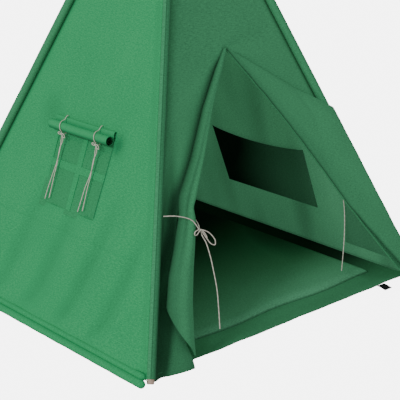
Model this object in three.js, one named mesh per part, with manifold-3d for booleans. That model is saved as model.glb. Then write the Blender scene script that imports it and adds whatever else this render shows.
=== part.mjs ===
// Four-pole play tent. Millimetres, +Z up, the door faces -Y, +X is to the right of the door.
// The origin is the centre of the base on the ground.
import * as THREE from "three";
import Module from "manifold-3d";
import { mergeVertices } from "three/addons/utils/BufferGeometryUtils.js";

const wasm = await Module();
wasm.setup();

// ---- driving dimensions ----
const HALF_BASE = 600; // a pole's foot from the centre, along X and along Y
const CROSS_Z = 1566; // height at which the four poles pass each other
const SWIRL = 14.14; // how far each pole passes beside the centre line, along X and along Y
const POLE_R = 11;
const POLE_LENGTH = 2000;
const POLE_JOINT_S = 1000; // along a pole, where its two sections meet
const FERRULE_R = [11.3, 12.2];
const FERRULE_LENGTH = 110;
const SLEEVE_R = [12.6, 14.2];
const SLEEVE_Z = [17, 1290]; // the sleeves' and the cloth's lower and upper end
const CLOTH = 1.6; // thickness of a wall
const GAP = 0.4;
const WALL_INSET = 15.06 + GAP; // from a pole's axis to a wall's edge, along the wall
const DOOR_APEX = [-17, 849]; // x and height
const DOOR_LEFT = [[-340, 448], [-430, 178], [-446, 0]]; // left edge of the opening, going down
const DOOR_HINGE_FOOT = [560, 3]; // lower end of the right flap's fold line
const WINDOW = { y: -33, width: 274, z: [352, 600] };
const BAR = 22; // width of the window's crossing bars
const ROLL = { y: -19, length: 300, r: 14.4, z: 586 };
const POCKET = { y: [-196, 272], z: [176, 412], depth: 24 };
const HEM_TUBE = { x: 631.5, z: 9.7, r: 9.5, halfLength: 592 };
const HEM_ROLL = { x: 615, z: 23.6, r: 9.3, halfLength: 562 };
const FLOOR = { half: 583, front: -575, bend: -500, lip: 15, thick: 1.6, flange: [619, 566] };
const MAT = { x: 510, y: [-468, 470], thick: 18 };
const CORNER_PATCH = [[-354, 249], [-307, 62], [-552, 60], [-484, 249]]; // y and height, on the right wall
const FLAP_GAP = 2.4; // from the front wall's outer face to the folded flap
const CORD_R = 1.7;
const LASHING = { r: 42, cord: 3, pitch: 7.2, turns: 3.2 };

const CORNERS = {
  front_left: { foot: [-1, -1], pass: [1, -1] },
  front_right: { foot: [1, -1], pass: [1, 1] },
  back_right: { foot: [1, 1], pass: [-1, 1] },
  back_left: { foot: [-1, 1], pass: [-1, -1] },
};

// ---- finishes ----
const cloth = (color) => new THREE.MeshStandardMaterial({ color, roughness: 0.9, side: THREE.DoubleSide });
const FINISH = {
  canvas: () => cloth(0x3f8a5c),
  lining: () => cloth(0x183523),
  net: () => cloth(0x2f7048),
  floor: () => cloth(0x2a5b3d),
  mat: () => cloth(0x1f4630),
  cord: () => cloth(0xc9c1b2),
  tag: () => cloth(0x16171a),
  wood: () => new THREE.MeshStandardMaterial({ color: 0xbeac9e, roughness: 0.6 }),
  metal: () => new THREE.MeshStandardMaterial({ color: 0xa9adb0, metalness: 1, roughness: 0.35 }),
};

const tent = new THREE.Group();
tent.name = "play_tent";

function add(name, geometry, finish) {
  const mesh = new THREE.Mesh(geometry, FINISH[finish]());
  mesh.name = name;
  tent.add(mesh);
  return mesh;
}

// ---- geometry helpers ----
const v3 = (x, y, z) => new THREE.Vector3(x, y, z);
const mix = (a, b, t) => a + (b - a) * t;

/**
 * A closed surface through rings of equal length: capped at both ends, or joined end to end.
 * With shorter, each four-cornered face is cut along its shorter diagonal, so that the two faces of a
 * twisted thin sheet are cut alike.
 */
function loft(rings, joined = false, shorter = false) {
  const n = rings[0].length;
  const points = rings.flat();
  const faces = [];
  const last = joined ? rings.length : rings.length - 1;
  for (let i = 0; i < last; i++) {
    const a = i * n;
    const b = ((i + 1) % rings.length) * n;
    for (let j = 0; j < n; j++) {
      const k = (j + 1) % n;
      const one = points[a + j].distanceTo(points[b + k]);
      const other = points[a + k].distanceTo(points[b + j]);
      if (shorter && other < one) faces.push(a + j, a + k, b + j, a + k, b + k, b + j);
      else faces.push(a + j, a + k, b + k, a + j, b + k, b + j);
    }
  }
  if (!joined) {
    for (const [i, flip] of [[0, true], [rings.length - 1, false]]) {
      const centre = rings[i].reduce((s, p) => s.add(p), v3(0, 0, 0)).divideScalar(n);
      points.push(centre);
      for (let j = 0; j < n; j++) {
        const pair = [i * n + j, i * n + ((j + 1) % n)];
        if (flip) pair.reverse();
        faces.push(...pair, points.length - 1);
      }
    }
  }
  const geometry = new THREE.BufferGeometry().setFromPoints(points);
  geometry.setIndex(faces);
  return faceOut(geometry);
}

/** Turns every face round if the closed surface points inwards, and adds normals. */
function faceOut(geometry) {
  const p = geometry.getAttribute("position");
  const index = geometry.index.array;
  let volume = 0;
  for (let i = 0; i < index.length; i += 3) {
    const [a, b, c] = [0, 1, 2].map((k) => v3().fromBufferAttribute(p, index[i + k]));
    volume += a.dot(b.cross(c));
  }
  if (volume < 0) {
    for (let i = 0; i < index.length; i += 3) [index[i], index[i + 1]] = [index[i + 1], index[i]];
  }
  geometry.computeVertexNormals();
  return geometry;
}

/** Rings of a round tube along points; radius is a number or one number per point. */
function tubeRings(path, radius, sides) {
  const rings = [];
  let side = null;
  path.forEach((p, i) => {
    const ahead = path[Math.min(i + 1, path.length - 1)].clone().sub(path[Math.max(i - 1, 0)]).normalize();
    side = (side ?? (Math.abs(ahead.z) < 0.9 ? v3(0, 0, 1) : v3(1, 0, 0))).clone();
    side.addScaledVector(ahead, -side.dot(ahead)).normalize();
    const up = v3().crossVectors(ahead, side);
    const r = Array.isArray(radius) ? radius[i] : radius;
    const ring = [];
    for (let k = 0; k < sides; k++) {
      const t = (2 * Math.PI * k) / sides;
      ring.push(p.clone().addScaledVector(side, r * Math.cos(t)).addScaledVector(up, r * Math.sin(t)));
    }
    rings.push(ring);
  });
  return rings;
}

const tube = (path, radius, sides) => loft(tubeRings(path, radius, sides));

/** A smooth line through points, cut into even steps. */
function smooth(points, step) {
  const curve = new THREE.CatmullRomCurve3(points.map((p) => v3(...p)), false, "centripetal");
  return curve.getSpacedPoints(Math.max(4, Math.min(78, Math.round(curve.getLength() / step))));
}

/** The same solid as a manifold-3d one, for joining and cutting. */
function solid(geometry) {
  const bare = geometry.clone();
  bare.deleteAttribute("normal");
  bare.deleteAttribute("uv");
  const merged = mergeVertices(bare, 1e-3);
  const vertProperties = new Float32Array(merged.attributes.position.array);
  const triVerts = new Uint32Array(merged.index.array);
  return new wasm.Manifold(new wasm.Mesh({ numProp: 3, vertProperties, triVerts }));
}

function fromSolid(made) {
  const mesh = made.getMesh();
  const geometry = new THREE.BufferGeometry();
  geometry.setAttribute("position", new THREE.BufferAttribute(mesh.vertProperties, 3));
  geometry.setIndex(new THREE.BufferAttribute(mesh.triVerts, 1));
  geometry.computeVertexNormals();
  return geometry;
}

/** A prism along Y (or X) over a polygon of (across, height) points, for cutting walls. */
function prism(polygon, axis, from, to) {
  const ring = (at) => polygon.map(([a, z]) => (axis === "y" ? v3(a, at, z) : v3(at, a, z)));
  const count = polygon.length;
  const points = [...ring(from), ...ring(to)];
  const triangles = THREE.ShapeUtils.triangulateShape(polygon.map(([a, z]) => new THREE.Vector2(a, z)), []);
  const faces = [];
  for (const [a, b, c] of triangles) faces.push(a, c, b, a + count, b + count, c + count);
  const turn = THREE.ShapeUtils.area(polygon.map(([a, z]) => new THREE.Vector2(a, z))) > 0 ? 1 : -1;
  for (let i = 0; i < count; i++) {
    const j = (i + 1) % count;
    const quad = [i, j, j + count, i, j + count, i + count];
    faces.push(...(turn > 0 ? quad : quad.reverse()));
  }
  const geometry = new THREE.BufferGeometry().setFromPoints(points);
  geometry.setIndex(faces);
  return faceOut(geometry);
}

// ---- poles ----
/** The point of a pole's axis at a height. */
function axisAt(corner, z) {
  const { foot, pass } = CORNERS[corner];
  const t = z / CROSS_Z;
  return v3(mix(foot[0] * HALF_BASE, pass[0] * SWIRL, t), mix(foot[1] * HALF_BASE, pass[1] * SWIRL, t), z);
}

const RISE = axisAt("front_left", CROSS_Z).distanceTo(axisAt("front_left", 0)) / CROSS_Z;
const alongPole = (corner, s) => axisAt(corner, s / RISE);

/** A round body along a pole from [distance, radius] pairs. */
function onPole(corner, profile, sides, joined = false) {
  const ahead = alongPole(corner, 1).sub(alongPole(corner, 0)).normalize();
  const side = v3(0, 0, 1).addScaledVector(ahead, -ahead.z).normalize();
  const up = v3().crossVectors(ahead, side);
  const rings = profile.map(([s, r]) => {
    const centre = alongPole(corner, s);
    return Array.from({ length: sides }, (_, k) => {
      const t = (2 * Math.PI * k) / sides;
      return centre.clone().addScaledVector(side, r * Math.cos(t)).addScaledVector(up, r * Math.sin(t));
    });
  });
  return loft(rings, joined);
}

const footS = POLE_R * RISE; // the rounded foot's centre, so that it stands on the ground
const dome = (centre, way) =>
  [15, 40, 65].map((a) => {
    const t = (a * Math.PI) / 180;
    return [centre - way * POLE_R * Math.cos(t), POLE_R * Math.sin(t)];
  });

const SIDES = 20;
for (const corner of Object.keys(CORNERS)) {
  const lower = [...dome(footS, 1), [footS, POLE_R], [POLE_JOINT_S - 0.2, POLE_R]];
  const tip = POLE_LENGTH - POLE_R;
  const upper = [[POLE_JOINT_S + 0.2, POLE_R], [tip, POLE_R], ...dome(tip, -1).reverse()];
  add(`pole_${corner}_lower`, onPole(corner, lower, SIDES), "wood");
  add(`pole_${corner}_upper`, onPole(corner, upper, SIDES), "wood");
  const [fa, fb] = [POLE_JOINT_S - FERRULE_LENGTH / 2, POLE_JOINT_S + FERRULE_LENGTH / 2];
  const [fi, fo] = FERRULE_R;
  add(`ferrule_${corner}`, onPole(corner, [[fa, fo], [fb, fo], [fb, fi], [fa, fi]], SIDES, true), "metal");
  const [sa, sb] = SLEEVE_Z.map((z) => z * RISE);
  const [si, so] = SLEEVE_R;
  add(`sleeve_${corner}`, onPole(corner, [[sa, so], [sb, so], [sb, si], [sa, si]], SIDES, true), "canvas");
}

// ---- walls ----
const WALLS = {
  front: { from: "front_left", to: "front_right", out: v3(0, -1, 0.38) },
  right: { from: "front_right", to: "back_right", out: v3(1, 0, 0.38) },
  back: { from: "back_right", to: "back_left", out: v3(0, 1, 0.38) },
  left: { from: "back_left", to: "front_left", out: v3(-1, 0, 0.38) },
};
for (const wall of Object.values(WALLS)) wall.out.normalize();

/** A point of a wall: u from 0 at one pole to 1 at the next, a height, and how far outside. */
function onWall(name, u, z, off = 0) {
  const { from, to, out } = WALLS[name];
  return axisAt(from, z).lerp(axisAt(to, z), u).addScaledVector(out, off);
}

/** The same from x (front and back wall) or y (side walls) in place of u. */
function atWall(name, across, z, off = 0) {
  const { from, to } = WALLS[name];
  const key = name === "front" || name === "back" ? "x" : "y";
  const [a, b] = [axisAt(from, z)[key], axisAt(to, z)[key]];
  return onWall(name, (across - a) / (b - a), z, off);
}

/** A wall panel between two poles as one closed solid; heights and offsets in rows. */
function panel(name, rows, columns, inset = WALL_INSET, thick = CLOTH) {
  const { from, to } = WALLS[name];
  const rings = rows.map(([z, off]) => {
    const width = axisAt(from, z).distanceTo(axisAt(to, z));
    const edge = inset / width;
    const us = Array.from({ length: columns + 1 }, (_, i) => mix(edge, 1 - edge, i / columns));
    const outer = us.map((u) => onWall(name, u, z, off + thick / 2));
    const inner = us.map((u) => onWall(name, u, z, off - thick / 2));
    return [...outer, ...inner.reverse()];
  });
  return loft(rings);
}

/** A flat patch on a wall as a closed solid: corners are [across, z, offset of its inner face]. */
function patch(name, corners, thick) {
  const inner = corners.map(([a, z, off]) => atWall(name, a, z, off));
  const outer = corners.map(([a, z, off]) => atWall(name, a, z, off + thick));
  return loft([inner, outer]);
}

const [CLOTH_LOW, CLOTH_HIGH] = [3, SLEEVE_Z[1]];
const tall = (low, steps) =>
  Array.from({ length: steps + 1 }, (_, i) => [mix(low, CLOTH_HIGH, i / steps), 0]);

const doorCut = prism([DOOR_APEX, ...DOOR_LEFT, [-446, -20], [575, -20], DOOR_HINGE_FOOT], "y", -700, -100);
add("front_wall", fromSolid(solid(panel("front", tall(CLOTH_LOW, 4), 4)).subtract(solid(doorCut))), "canvas");
add("back_wall", panel("back", tall(CLOTH_LOW, 4), 4), "canvas");
// The side walls flare out to their hem roll at the foot: [height, how far outside].
const flared = [[28, 22], [60, 12], [110, 3], [180, 0], ...tall(480, 3)];
add("side_wall_right", panel("right", flared, 4), "canvas");

const [windowA, windowB] = [WINDOW.y - WINDOW.width / 2, WINDOW.y + WINDOW.width / 2];
const [windowLow, windowHigh] = WINDOW.z;
const windowCut = prism(
  [[windowA, windowLow], [windowB, windowLow], [windowB, windowHigh], [windowA, windowHigh]],
  "x", -700, -200,
);
add("side_wall_left", fromSolid(solid(panel("left", flared, 4)).subtract(solid(windowCut))), "canvas");

// Hem band round the top of each wall, just inside it.
for (const name of Object.keys(WALLS)) {
  add(`top_hem_${name}`, panel(name, [[1248, -1.9], [1289, -1.9]], 1, 18, 1.2), "canvas");
}

// ---- window: net behind the hole, crossing bars, rolled flap ----
const rim = 14;
add("window_net", patch("left", [
  [windowA - rim, windowLow - rim, -2.9], [windowB + rim, windowLow - rim, -2.9],
  [windowB + rim, windowHigh + rim, -2.9], [windowA - rim, windowHigh + rim, -2.9],
], 1.2), "net");

const barY = [WINDOW.y - BAR / 2, WINDOW.y + BAR / 2];
const barZ = [mix(windowLow, windowHigh, 0.5) - BAR / 2, mix(windowLow, windowHigh, 0.5) + BAR / 2];
const inY = [windowA + 0.6, windowB - 0.6];
const inZ = [windowLow + 0.6, windowHigh - 0.6];
const cross = [
  [barY[0], inZ[0]], [barY[1], inZ[0]], [barY[1], barZ[0]], [inY[1], barZ[0]], [inY[1], barZ[1]],
  [barY[1], barZ[1]], [barY[1], inZ[1]], [barY[0], inZ[1]], [barY[0], barZ[1]], [inY[0], barZ[1]],
  [inY[0], barZ[0]], [barY[0], barZ[0]],
];
add("window_cross_bars", fromSolid(solid(crossSolid(cross))), "canvas");

/** The crossing bars: a flat outline on the left wall, made solid. */
function crossSolid(outline) {
  const flat = outline.map(([a, z]) => new THREE.Vector2(a, z));
  const triangles = THREE.ShapeUtils.triangulateShape(flat, []);
  const n = outline.length;
  const points = [-0.9, 0.3].flatMap((off) => outline.map(([a, z]) => atWall("left", a, z, off)));
  const faces = [];
  for (const [a, b, c] of triangles) faces.push(a, b, c, a + n, c + n, b + n);
  for (let i = 0; i < n; i++) {
    const j = (i + 1) % n;
    faces.push(j, i, j + n, i, i + n, j + n);
  }
  const geometry = new THREE.BufferGeometry().setFromPoints(points);
  geometry.setIndex(faces);
  return faceOut(geometry);
}

const rollOff = ROLL.r + CLOTH / 2 + 6;
const rollEnd = (way) => atWall("left", ROLL.y + (way * ROLL.length) / 2, ROLL.z, rollOff);
add("window_flap_roll", tube([rollEnd(-1), rollEnd(1)], ROLL.r, 16), "canvas");
add("window_flap_head", patch("left", [
  [ROLL.y - ROLL.length / 2, 604, 1.4], [ROLL.y + ROLL.length / 2, 604, 1.4],
  [ROLL.y + ROLL.length / 2, 622, 1.4], [ROLL.y - ROLL.length / 2, 622, 1.4],
], 2.2), "canvas");

/** One window tie: two tails, a knot under the roll, and a ring round the roll. */
function windowTie(y) {
  const centre = rollOff;
  const ring = [];
  const r = ROLL.r + CORD_R + 1.7;
  for (let k = 1; k < 12; k++) {
    const t = -2.2 - (k / 12) * 4.4;
    ring.push([y + k * 0.5, ROLL.z + r * Math.sin(t) * 0.94, centre + r * Math.cos(t)]);
  }
  const points = [
    [y - 12, 362, 8], [y - 9, 420, 10], [y - 5, 470, 12], [y - 4, 530, 16], [y - 3, 552, 20],
    ...ring, [y + 9, 552, 20], [y + 9, 530, 16], [y + 8, 470, 12], [y + 10, 420, 10], [y + 12, 364, 8],
  ];
  return smooth(points.map(([a, z, off]) => atWall("left", a, z, off).toArray()), 8.5);
}
for (const [name, y] of [["back", 64], ["front", -110]]) {
  add(`window_tie_${name}`, tube(windowTie(y), CORD_R, 8), "cord");
}

// ---- inner pocket on the right wall, open at the top ----
const [pocketA, pocketB] = POCKET.y;
const [pocketLow, pocketHigh] = POCKET.z;
/** A block on the inside of the right wall between two offsets. */
function block([y0, y1], [z0, z1], near, far) {
  const corners = [[y0, z0], [y1, z0], [y1, z1], [y0, z1]];
  return solid(loft([near, far].map((off) => corners.map(([y, z]) => atWall("right", y, z, off)))));
}
const skin = 1.5;
const pocketBody = block([pocketA, pocketB], [pocketLow, pocketHigh], -1.6, -POCKET.depth - skin);
const pocketRoom = block([pocketA + skin, pocketB - skin], [pocketLow + skin, pocketHigh + 30], 6, -POCKET.depth);
add("inner_pocket", fromSolid(pocketBody.subtract(pocketRoom)), "lining");

add("inner_corner_patch", patch("right", CORNER_PATCH.map(([y, z]) => [y, z, -3.2]), 1.4), "lining");

// ---- hems along the foot of the side walls ----
for (const [side, way] of [["left", -1], ["right", 1]]) {
  const capsule = ({ x, z, r, halfLength }) => {
    const ends = [0.35, 0.75, 1];
    const ys = [...ends.map((e) => -halfLength - r * Math.sqrt(1 - e * e)), 0];
    const all = [...ys, ...ys.slice(0, -1).map((y) => -y).reverse()];
    const radii = [...ends.map((e) => r * e), r, ...ends.map((e) => r * e).reverse()];
    return tube(all.map((y) => v3(way * x, y, z)), radii, 14);
  };
  add(`hem_tube_${side}`, capsule(HEM_TUBE), "canvas");
  add(`hem_roll_${side}`, capsule(HEM_ROLL), "canvas");
}

// ---- floor and mat ----
const floorSide = [
  [FLOOR.half, 0], [FLOOR.bend, 0], [FLOOR.front, FLOOR.lip], [FLOOR.front, FLOOR.lip + FLOOR.thick],
  [FLOOR.bend, FLOOR.thick], [FLOOR.half, FLOOR.thick],
];
const [flangeX, flangeY] = FLOOR.flange; // the sheet's side edges run out under the hem rolls
const flangeSide = [[-flangeY, 0], [flangeY, 0], [flangeY, FLOOR.thick], [-flangeY, FLOOR.thick]];
const flange = prism(flangeSide.map(([y, z]) => [y < 0 ? FLOOR.bend : y, z]), "x", -flangeX, flangeX);
add("floor_sheet", fromSolid(solid(prism(floorSide, "x", -FLOOR.half, FLOOR.half)).add(solid(flange))), "floor");

const matLow = FLOOR.thick + GAP;
const matSection = [[0, 0.25], [0.5, 0], [1, 0.25], [1, 0.8], [0.985, 1], [0.015, 1], [0, 0.8]];
add("floor_mat", prism(
  matSection.map(([t, h]) => [mix(MAT.y[0], MAT.y[1], t), matLow + h * MAT.thick]).map(([y, z]) => [y, z]),
  "x", -MAT.x, MAT.x,
), "mat");

// ---- left door flap: gathered to the pole, tied, hanging to the ground ----
// Rows of the gathered cloth: height, its left and right edge along x, how far it stands out.
const GATHERED = [
  [846, -22, -16, 4], [740, -100, -66, 12], [600, -228, -176, 20], [448, -362, -298, 28],
  [330, -410, -328, 26], [178, -482, -388, 26], [90, -504, -414, 18], [4, -520, -438, 6],
];
const gatheredRings = GATHERED.map(([z, a, b, deep]) => {
  const base = CLOTH / 2 + 1.4;
  const n = 10;
  return Array.from({ length: n }, (_, k) => {
    const t = (2 * Math.PI * k) / n;
    const across = mix(a, b, 0.5 + 0.5 * Math.cos(t));
    return atWall("front", across, z, base + deep * (0.5 + 0.5 * Math.sin(t)));
  });
});
add("door_flap_left", loft(gatheredRings), "canvas");

// ---- right door flap: folded back over the front wall, its tip round the pole ----
const poleX = (z) => axisAt("front_right", z).x;
const hinge = (z) => mix(DOOR_HINGE_FOOT[0], DOOR_APEX[0], (z - DOOR_HINGE_FOOT[1]) / (849 - DOOR_HINGE_FOOT[1]));

/** The folded flap on the front: rows from its fold line to just short of the pole's far side. */
const flapRows = [842, 780, 700, 592, 450, 250, 90];
const flapReach = 10; // past the pole's axis, where the flap turns the corner
const flapEdge = (z) =>
  z > 592 ? mix(poleX(592) + flapReach, DOOR_APEX[0] + 8, (z - 592) / (846 - 592)) : poleX(z) + flapReach;
const flapLift = CLOTH / 2 + FLAP_GAP;
function flapPanel() {
  const rings = flapRows.map((z) => {
    const [a, b] = [hinge(z) + 3, Math.max(hinge(z) + 9, flapEdge(z))];
    const us = [0, 0.35, 0.7, 1];
    const lift = (u) => {
      const toPole = poleX(z) - mix(a, b, u);
      return toPole < 45 ? 18.4 - toPole * 0.2 : flapLift;
    };
    const inner = us.map((u) => atWall("front", mix(a, b, u), z, lift(u)));
    const outer = us.map((u) => atWall("front", mix(a, b, u), z, lift(u) + CLOTH));
    return [...inner, ...outer.reverse()];
  });
  return loft(rings, false, true);
}
add("door_flap_right", flapPanel(), "canvas");

/** The flap's tip: from the pole back along the outside of the right wall. */
const TIP_ROWS = [[586, 26], [540, 100], [460, 220], [380, 200], [230, 110], [120, 30]];
function flapTip() {
  const off = 18.4;
  const rings = TIP_ROWS.map(([z, reach]) => {
    const y0 = axisAt("front_right", z).y - 13;
    const ys = [y0, y0 + reach * 0.5 + 8, y0 + reach + 16];
    const inner = ys.map((y) => atWall("right", y, z, off));
    const outer = ys.map((y) => atWall("right", y, z, off + CLOTH));
    return [...inner, ...outer.reverse()];
  });
  return loft(rings, false, true);
}
add("door_flap_right_tip", flapTip(), "canvas");

// ---- cords, tag ----
const leftTie = [
  [-416, 420, 20], [-400, 426, 31], [-370, 416, 34], [-345, 403, 34], [-328, 387, 34], [-318, 366, 32],
  [-303, 330, 31], [-299, 290, 31], [-301, 240, 31], [-304, 190, 31], [-312, 140, 31], [-322, 84, 31],
];
const onFront = (list) => list.map(([a, z, off]) => atWall("front", a, z, off).toArray());
add("door_tie_left", tube(smooth(onFront(leftTie), 9), CORD_R, 8), "cord");
const rightTieTop = atWall("front", hinge(314) + 17, 314, -20);
const rightTie = [[0, 0], [60, 6], [130, 8], [190, 4], [245, -4]].map(([down, aside]) => [
  rightTieTop.x + aside, rightTieTop.y, rightTieTop.z - down,
]);
add("door_tie_right", tube(smooth(rightTie, 9), CORD_R, 8), "cord");

add("side_tag", prism([[-604, 7], [-579, 4.5], [-579, 5.7], [-604, 8.2]], "x", 432, 468), "tag");

// ---- lashing round the crossing poles ----
const turnSteps = 72;
const lashing = Array.from({ length: turnSteps + 1 }, (_, i) => {
  const t = (i / turnSteps) * LASHING.turns * 2 * Math.PI;
  const rise = (i / turnSteps - 0.5) * LASHING.turns * LASHING.pitch;
  return v3(LASHING.r * Math.cos(t), LASHING.r * Math.sin(t), CROSS_Z + rise);
});
add("lashing_cord", tube(lashing, LASHING.cord, 8), "cord");

export default tent;
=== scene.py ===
"""A four-pole play tent in green cotton: the visual model, in metres, in the CAD model's frame."""

import logging
import math
from dataclasses import dataclass
from enum import Enum
from typing import Callable, Sequence

import bpy
import numpy as np
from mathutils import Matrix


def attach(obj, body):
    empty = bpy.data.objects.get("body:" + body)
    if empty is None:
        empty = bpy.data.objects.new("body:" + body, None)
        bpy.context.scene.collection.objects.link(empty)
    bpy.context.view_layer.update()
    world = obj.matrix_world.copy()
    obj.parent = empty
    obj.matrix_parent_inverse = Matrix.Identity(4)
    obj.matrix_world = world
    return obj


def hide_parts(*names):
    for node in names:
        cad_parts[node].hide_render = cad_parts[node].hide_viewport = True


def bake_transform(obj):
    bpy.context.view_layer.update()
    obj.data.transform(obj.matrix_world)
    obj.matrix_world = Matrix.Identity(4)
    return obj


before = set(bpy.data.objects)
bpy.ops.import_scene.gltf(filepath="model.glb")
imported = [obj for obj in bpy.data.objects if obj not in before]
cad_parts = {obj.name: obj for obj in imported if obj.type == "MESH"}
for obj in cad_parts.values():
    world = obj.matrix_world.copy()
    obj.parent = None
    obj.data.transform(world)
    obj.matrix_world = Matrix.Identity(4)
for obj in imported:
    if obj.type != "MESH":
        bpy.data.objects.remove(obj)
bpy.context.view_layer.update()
LOG = logging.getLogger("play_tent")
Array = np.ndarray


# ---------------------------------------------------------------- sizes and finishes
@dataclass(frozen=True)
class TentSizes:
    """Driving sizes of the tent, in metres."""

    half_base: float = 0.600
    cross_z: float = 1.566
    swirl: float = 0.01414
    pole_radius: float = 0.011
    pole_length: float = 2.000
    pole_joint: float = 1.000
    ferrule_length: float = 0.110
    sleeve_radius: float = 0.0140
    sleeve_low: float = 0.017
    cloth_top: float = 1.290
    cloth: float = 0.0012
    window_y: tuple[float, float] = (-0.170, 0.104)
    window_z: tuple[float, float] = (0.352, 0.600)
    pocket_y: tuple[float, float] = (-0.200, 0.267)
    pocket_z: tuple[float, float] = (0.175, 0.411)
    mat_x: float = 0.510
    mat_y: tuple[float, float] = (-0.468, 0.470)
    cord_radius: float = 0.0017


@dataclass(frozen=True)
class ClothFinish:
    """One kind of cloth: its linear colour, how its weave and grain show, and the strength of the
    painted glow on its inside face, for light that comes through it.
    """

    name: str
    slot: str
    color: tuple[float, float, float]
    roughness: float = 0.92
    grain: float = 0.85
    mottle: float = 0.14
    thread: float = 0.0011
    bump: float = 0.35
    stitched: bool = True
    glow: float = 0.0


@dataclass(frozen=True)
class PlainFinish:
    """A finish with no weave: wood, metal or cord."""

    name: str
    slot: str
    color: tuple[float, float, float]
    second: tuple[float, float, float]
    roughness: float
    metallic: float = 0.0


CANVAS = ClothFinish("canvas_green", "canvas", (0.038, 0.368, 0.134), glow=0.30)
# A darker, duller copy of the green canvas: painted shade, for the pieces on the tent's shaded front and
# right.
CANVAS_SHADED = ClothFinish("canvas_front", "canvas", (0.062, 0.300, 0.136), glow=0.30)
# A darker copy of the canvas: painted shade inside the door's fold.
CANVAS_FOLD = ClothFinish("canvas_fold", "canvas", (0.050, 0.250, 0.112), stitched=False)
# A duller copy of the canvas with a stronger painted glow, for the right and back walls whose inside shows
# through the door: painted light.
CANVAS_INNER = ClothFinish("canvas_inner", "canvas", (0.080, 0.294, 0.150), glow=0.37)
CANVAS_SLEEVE = ClothFinish("canvas_sleeve", "canvas", (0.058, 0.310, 0.138))
# A slightly brighter copy of the canvas for the rolled window flap: painted light.
CANVAS_ROLL = ClothFinish("canvas_roll", "canvas", (0.040, 0.385, 0.142), grain=0.34)
CANVAS_BAR = ClothFinish("canvas_bar", "canvas", (0.038, 0.350, 0.128), stitched=False)
# A dark copy of the green canvas for the inner pocket: painted shade.
POCKET_SHADE = ClothFinish("lining_dark", "lining", (0.050, 0.170, 0.090), mottle=0.05, glow=0.16)
# The colour of the dark sheet that paints the folded-back right flap's shadow on the right wall.
FLAP_SHADOW = ClothFinish("lining_green", "lining", (0.052, 0.190, 0.098), mottle=0.05, glow=0.20)
NET = ClothFinish("window_net", "net", (0.038, 0.300, 0.114), thread=0.0016, bump=0.5, stitched=False)
FLOOR = ClothFinish("floor_cotton", "floor", (0.058, 0.270, 0.125))
MAT = ClothFinish("mat_cotton", "mat", (0.105, 0.370, 0.195), mottle=0.16)
TAG = ClothFinish("tag_satin", "tag", (0.010, 0.010, 0.012), roughness=0.5, bump=0.1, stitched=False)
WOOD = PlainFinish("sanded_pine", "wood", (0.58, 0.43, 0.34), (0.40, 0.26, 0.18), 0.55)
METAL = PlainFinish("drawn_metal", "metal", (0.55, 0.56, 0.57), (0.38, 0.39, 0.40), 0.32, 1.0)
CORD = PlainFinish("cotton_cord", "cord", (0.80, 0.76, 0.66), (0.50, 0.46, 0.38), 0.85)


class Corner(Enum):
    """A pole: which way its foot stands and which side of the centre it passes."""

    FRONT_LEFT = ((-1, -1), (1, -1))
    FRONT_RIGHT = ((1, -1), (1, 1))
    BACK_RIGHT = ((1, 1), (-1, 1))
    BACK_LEFT = ((-1, 1), (-1, -1))

    @property
    def node(self) -> str:
        """The corner's part of a CAD node's name."""
        return self.name.lower()

    @property
    def body(self) -> str:
        """The CAD body that the pole belongs to."""
        return "back_frame" if self.name.startswith("BACK") else "front_frame"


class Side(Enum):
    """A wall: the poles at its two edges, which axis runs across it, and its outward way."""

    FRONT = (Corner.FRONT_LEFT, Corner.FRONT_RIGHT, 0, (0.0, -1.0, 0.38))
    RIGHT = (Corner.FRONT_RIGHT, Corner.BACK_RIGHT, 1, (1.0, 0.0, 0.38))
    BACK = (Corner.BACK_RIGHT, Corner.BACK_LEFT, 0, (0.0, 1.0, 0.38))
    LEFT = (Corner.BACK_LEFT, Corner.FRONT_LEFT, 1, (-1.0, 0.0, 0.38))


# ---------------------------------------------------------------- numbers
def smoothstep(x: Array, low: float, high: float) -> Array:
    """0 below low, 1 above high, and 3t^2 - 2t^3 between, where t runs from 0 to 1.

    Args:
        x: the values.
        low: where the step starts.
        high: where it ends; it may be below low for a falling step.

    Returns:
        The step, the shape of x.
    """
    t = np.clip((np.asarray(x, float) - low) / (high - low), 0.0, 1.0)
    return t * t * (3.0 - 2.0 * t)


def bell(x: Array, centre: Array | float, width: float) -> Array:
    """exp(-((x - centre) / width)^2): a soft ridge, 1 at its centre."""
    return np.exp(-(((np.asarray(x, float) - centre) / width) ** 2))


def ripple(a: Array, b: Array, seed: int, scale: float) -> Array:
    """A smooth seeded noise from -1 to 1: the mean of six sines of a and b with random ways and phases.

    Args:
        a: first coordinate, in metres.
        b: second coordinate, in metres.
        seed: which noise.
        scale: the typical length of a wave, in metres.

    Returns:
        The noise, the shape of a and b together.
    """
    rng = np.random.default_rng(seed)
    way = rng.uniform(0, 2 * np.pi, 6)
    size = rng.uniform(0.7, 1.6, 6) * 2 * np.pi / scale
    phase = rng.uniform(0, 2 * np.pi, 6)
    a, b = np.broadcast_arrays(np.asarray(a, float), np.asarray(b, float))
    waves = np.sin((a[..., None] * np.cos(way) + b[..., None] * np.sin(way)) * size + phase)
    return waves.mean(axis=-1)


def unit(v: Array) -> Array:
    """Each vector divided by its length."""
    return v / np.maximum(np.linalg.norm(v, axis=-1, keepdims=True), 1e-12)


def distances(points: Array) -> Array:
    """The distance along a line of points from its first point to each of them."""
    return np.concatenate([[0.0], np.cumsum(np.linalg.norm(np.diff(points, axis=0), axis=1))])


def grid_faces(number: Array) -> Array:
    """The four corners of each face of a grid of point numbers, rows - 1 by columns - 1 by 4."""
    return np.stack([number[:-1, :-1], number[:-1, 1:], number[1:, 1:], number[1:, :-1]], axis=-1)


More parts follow.
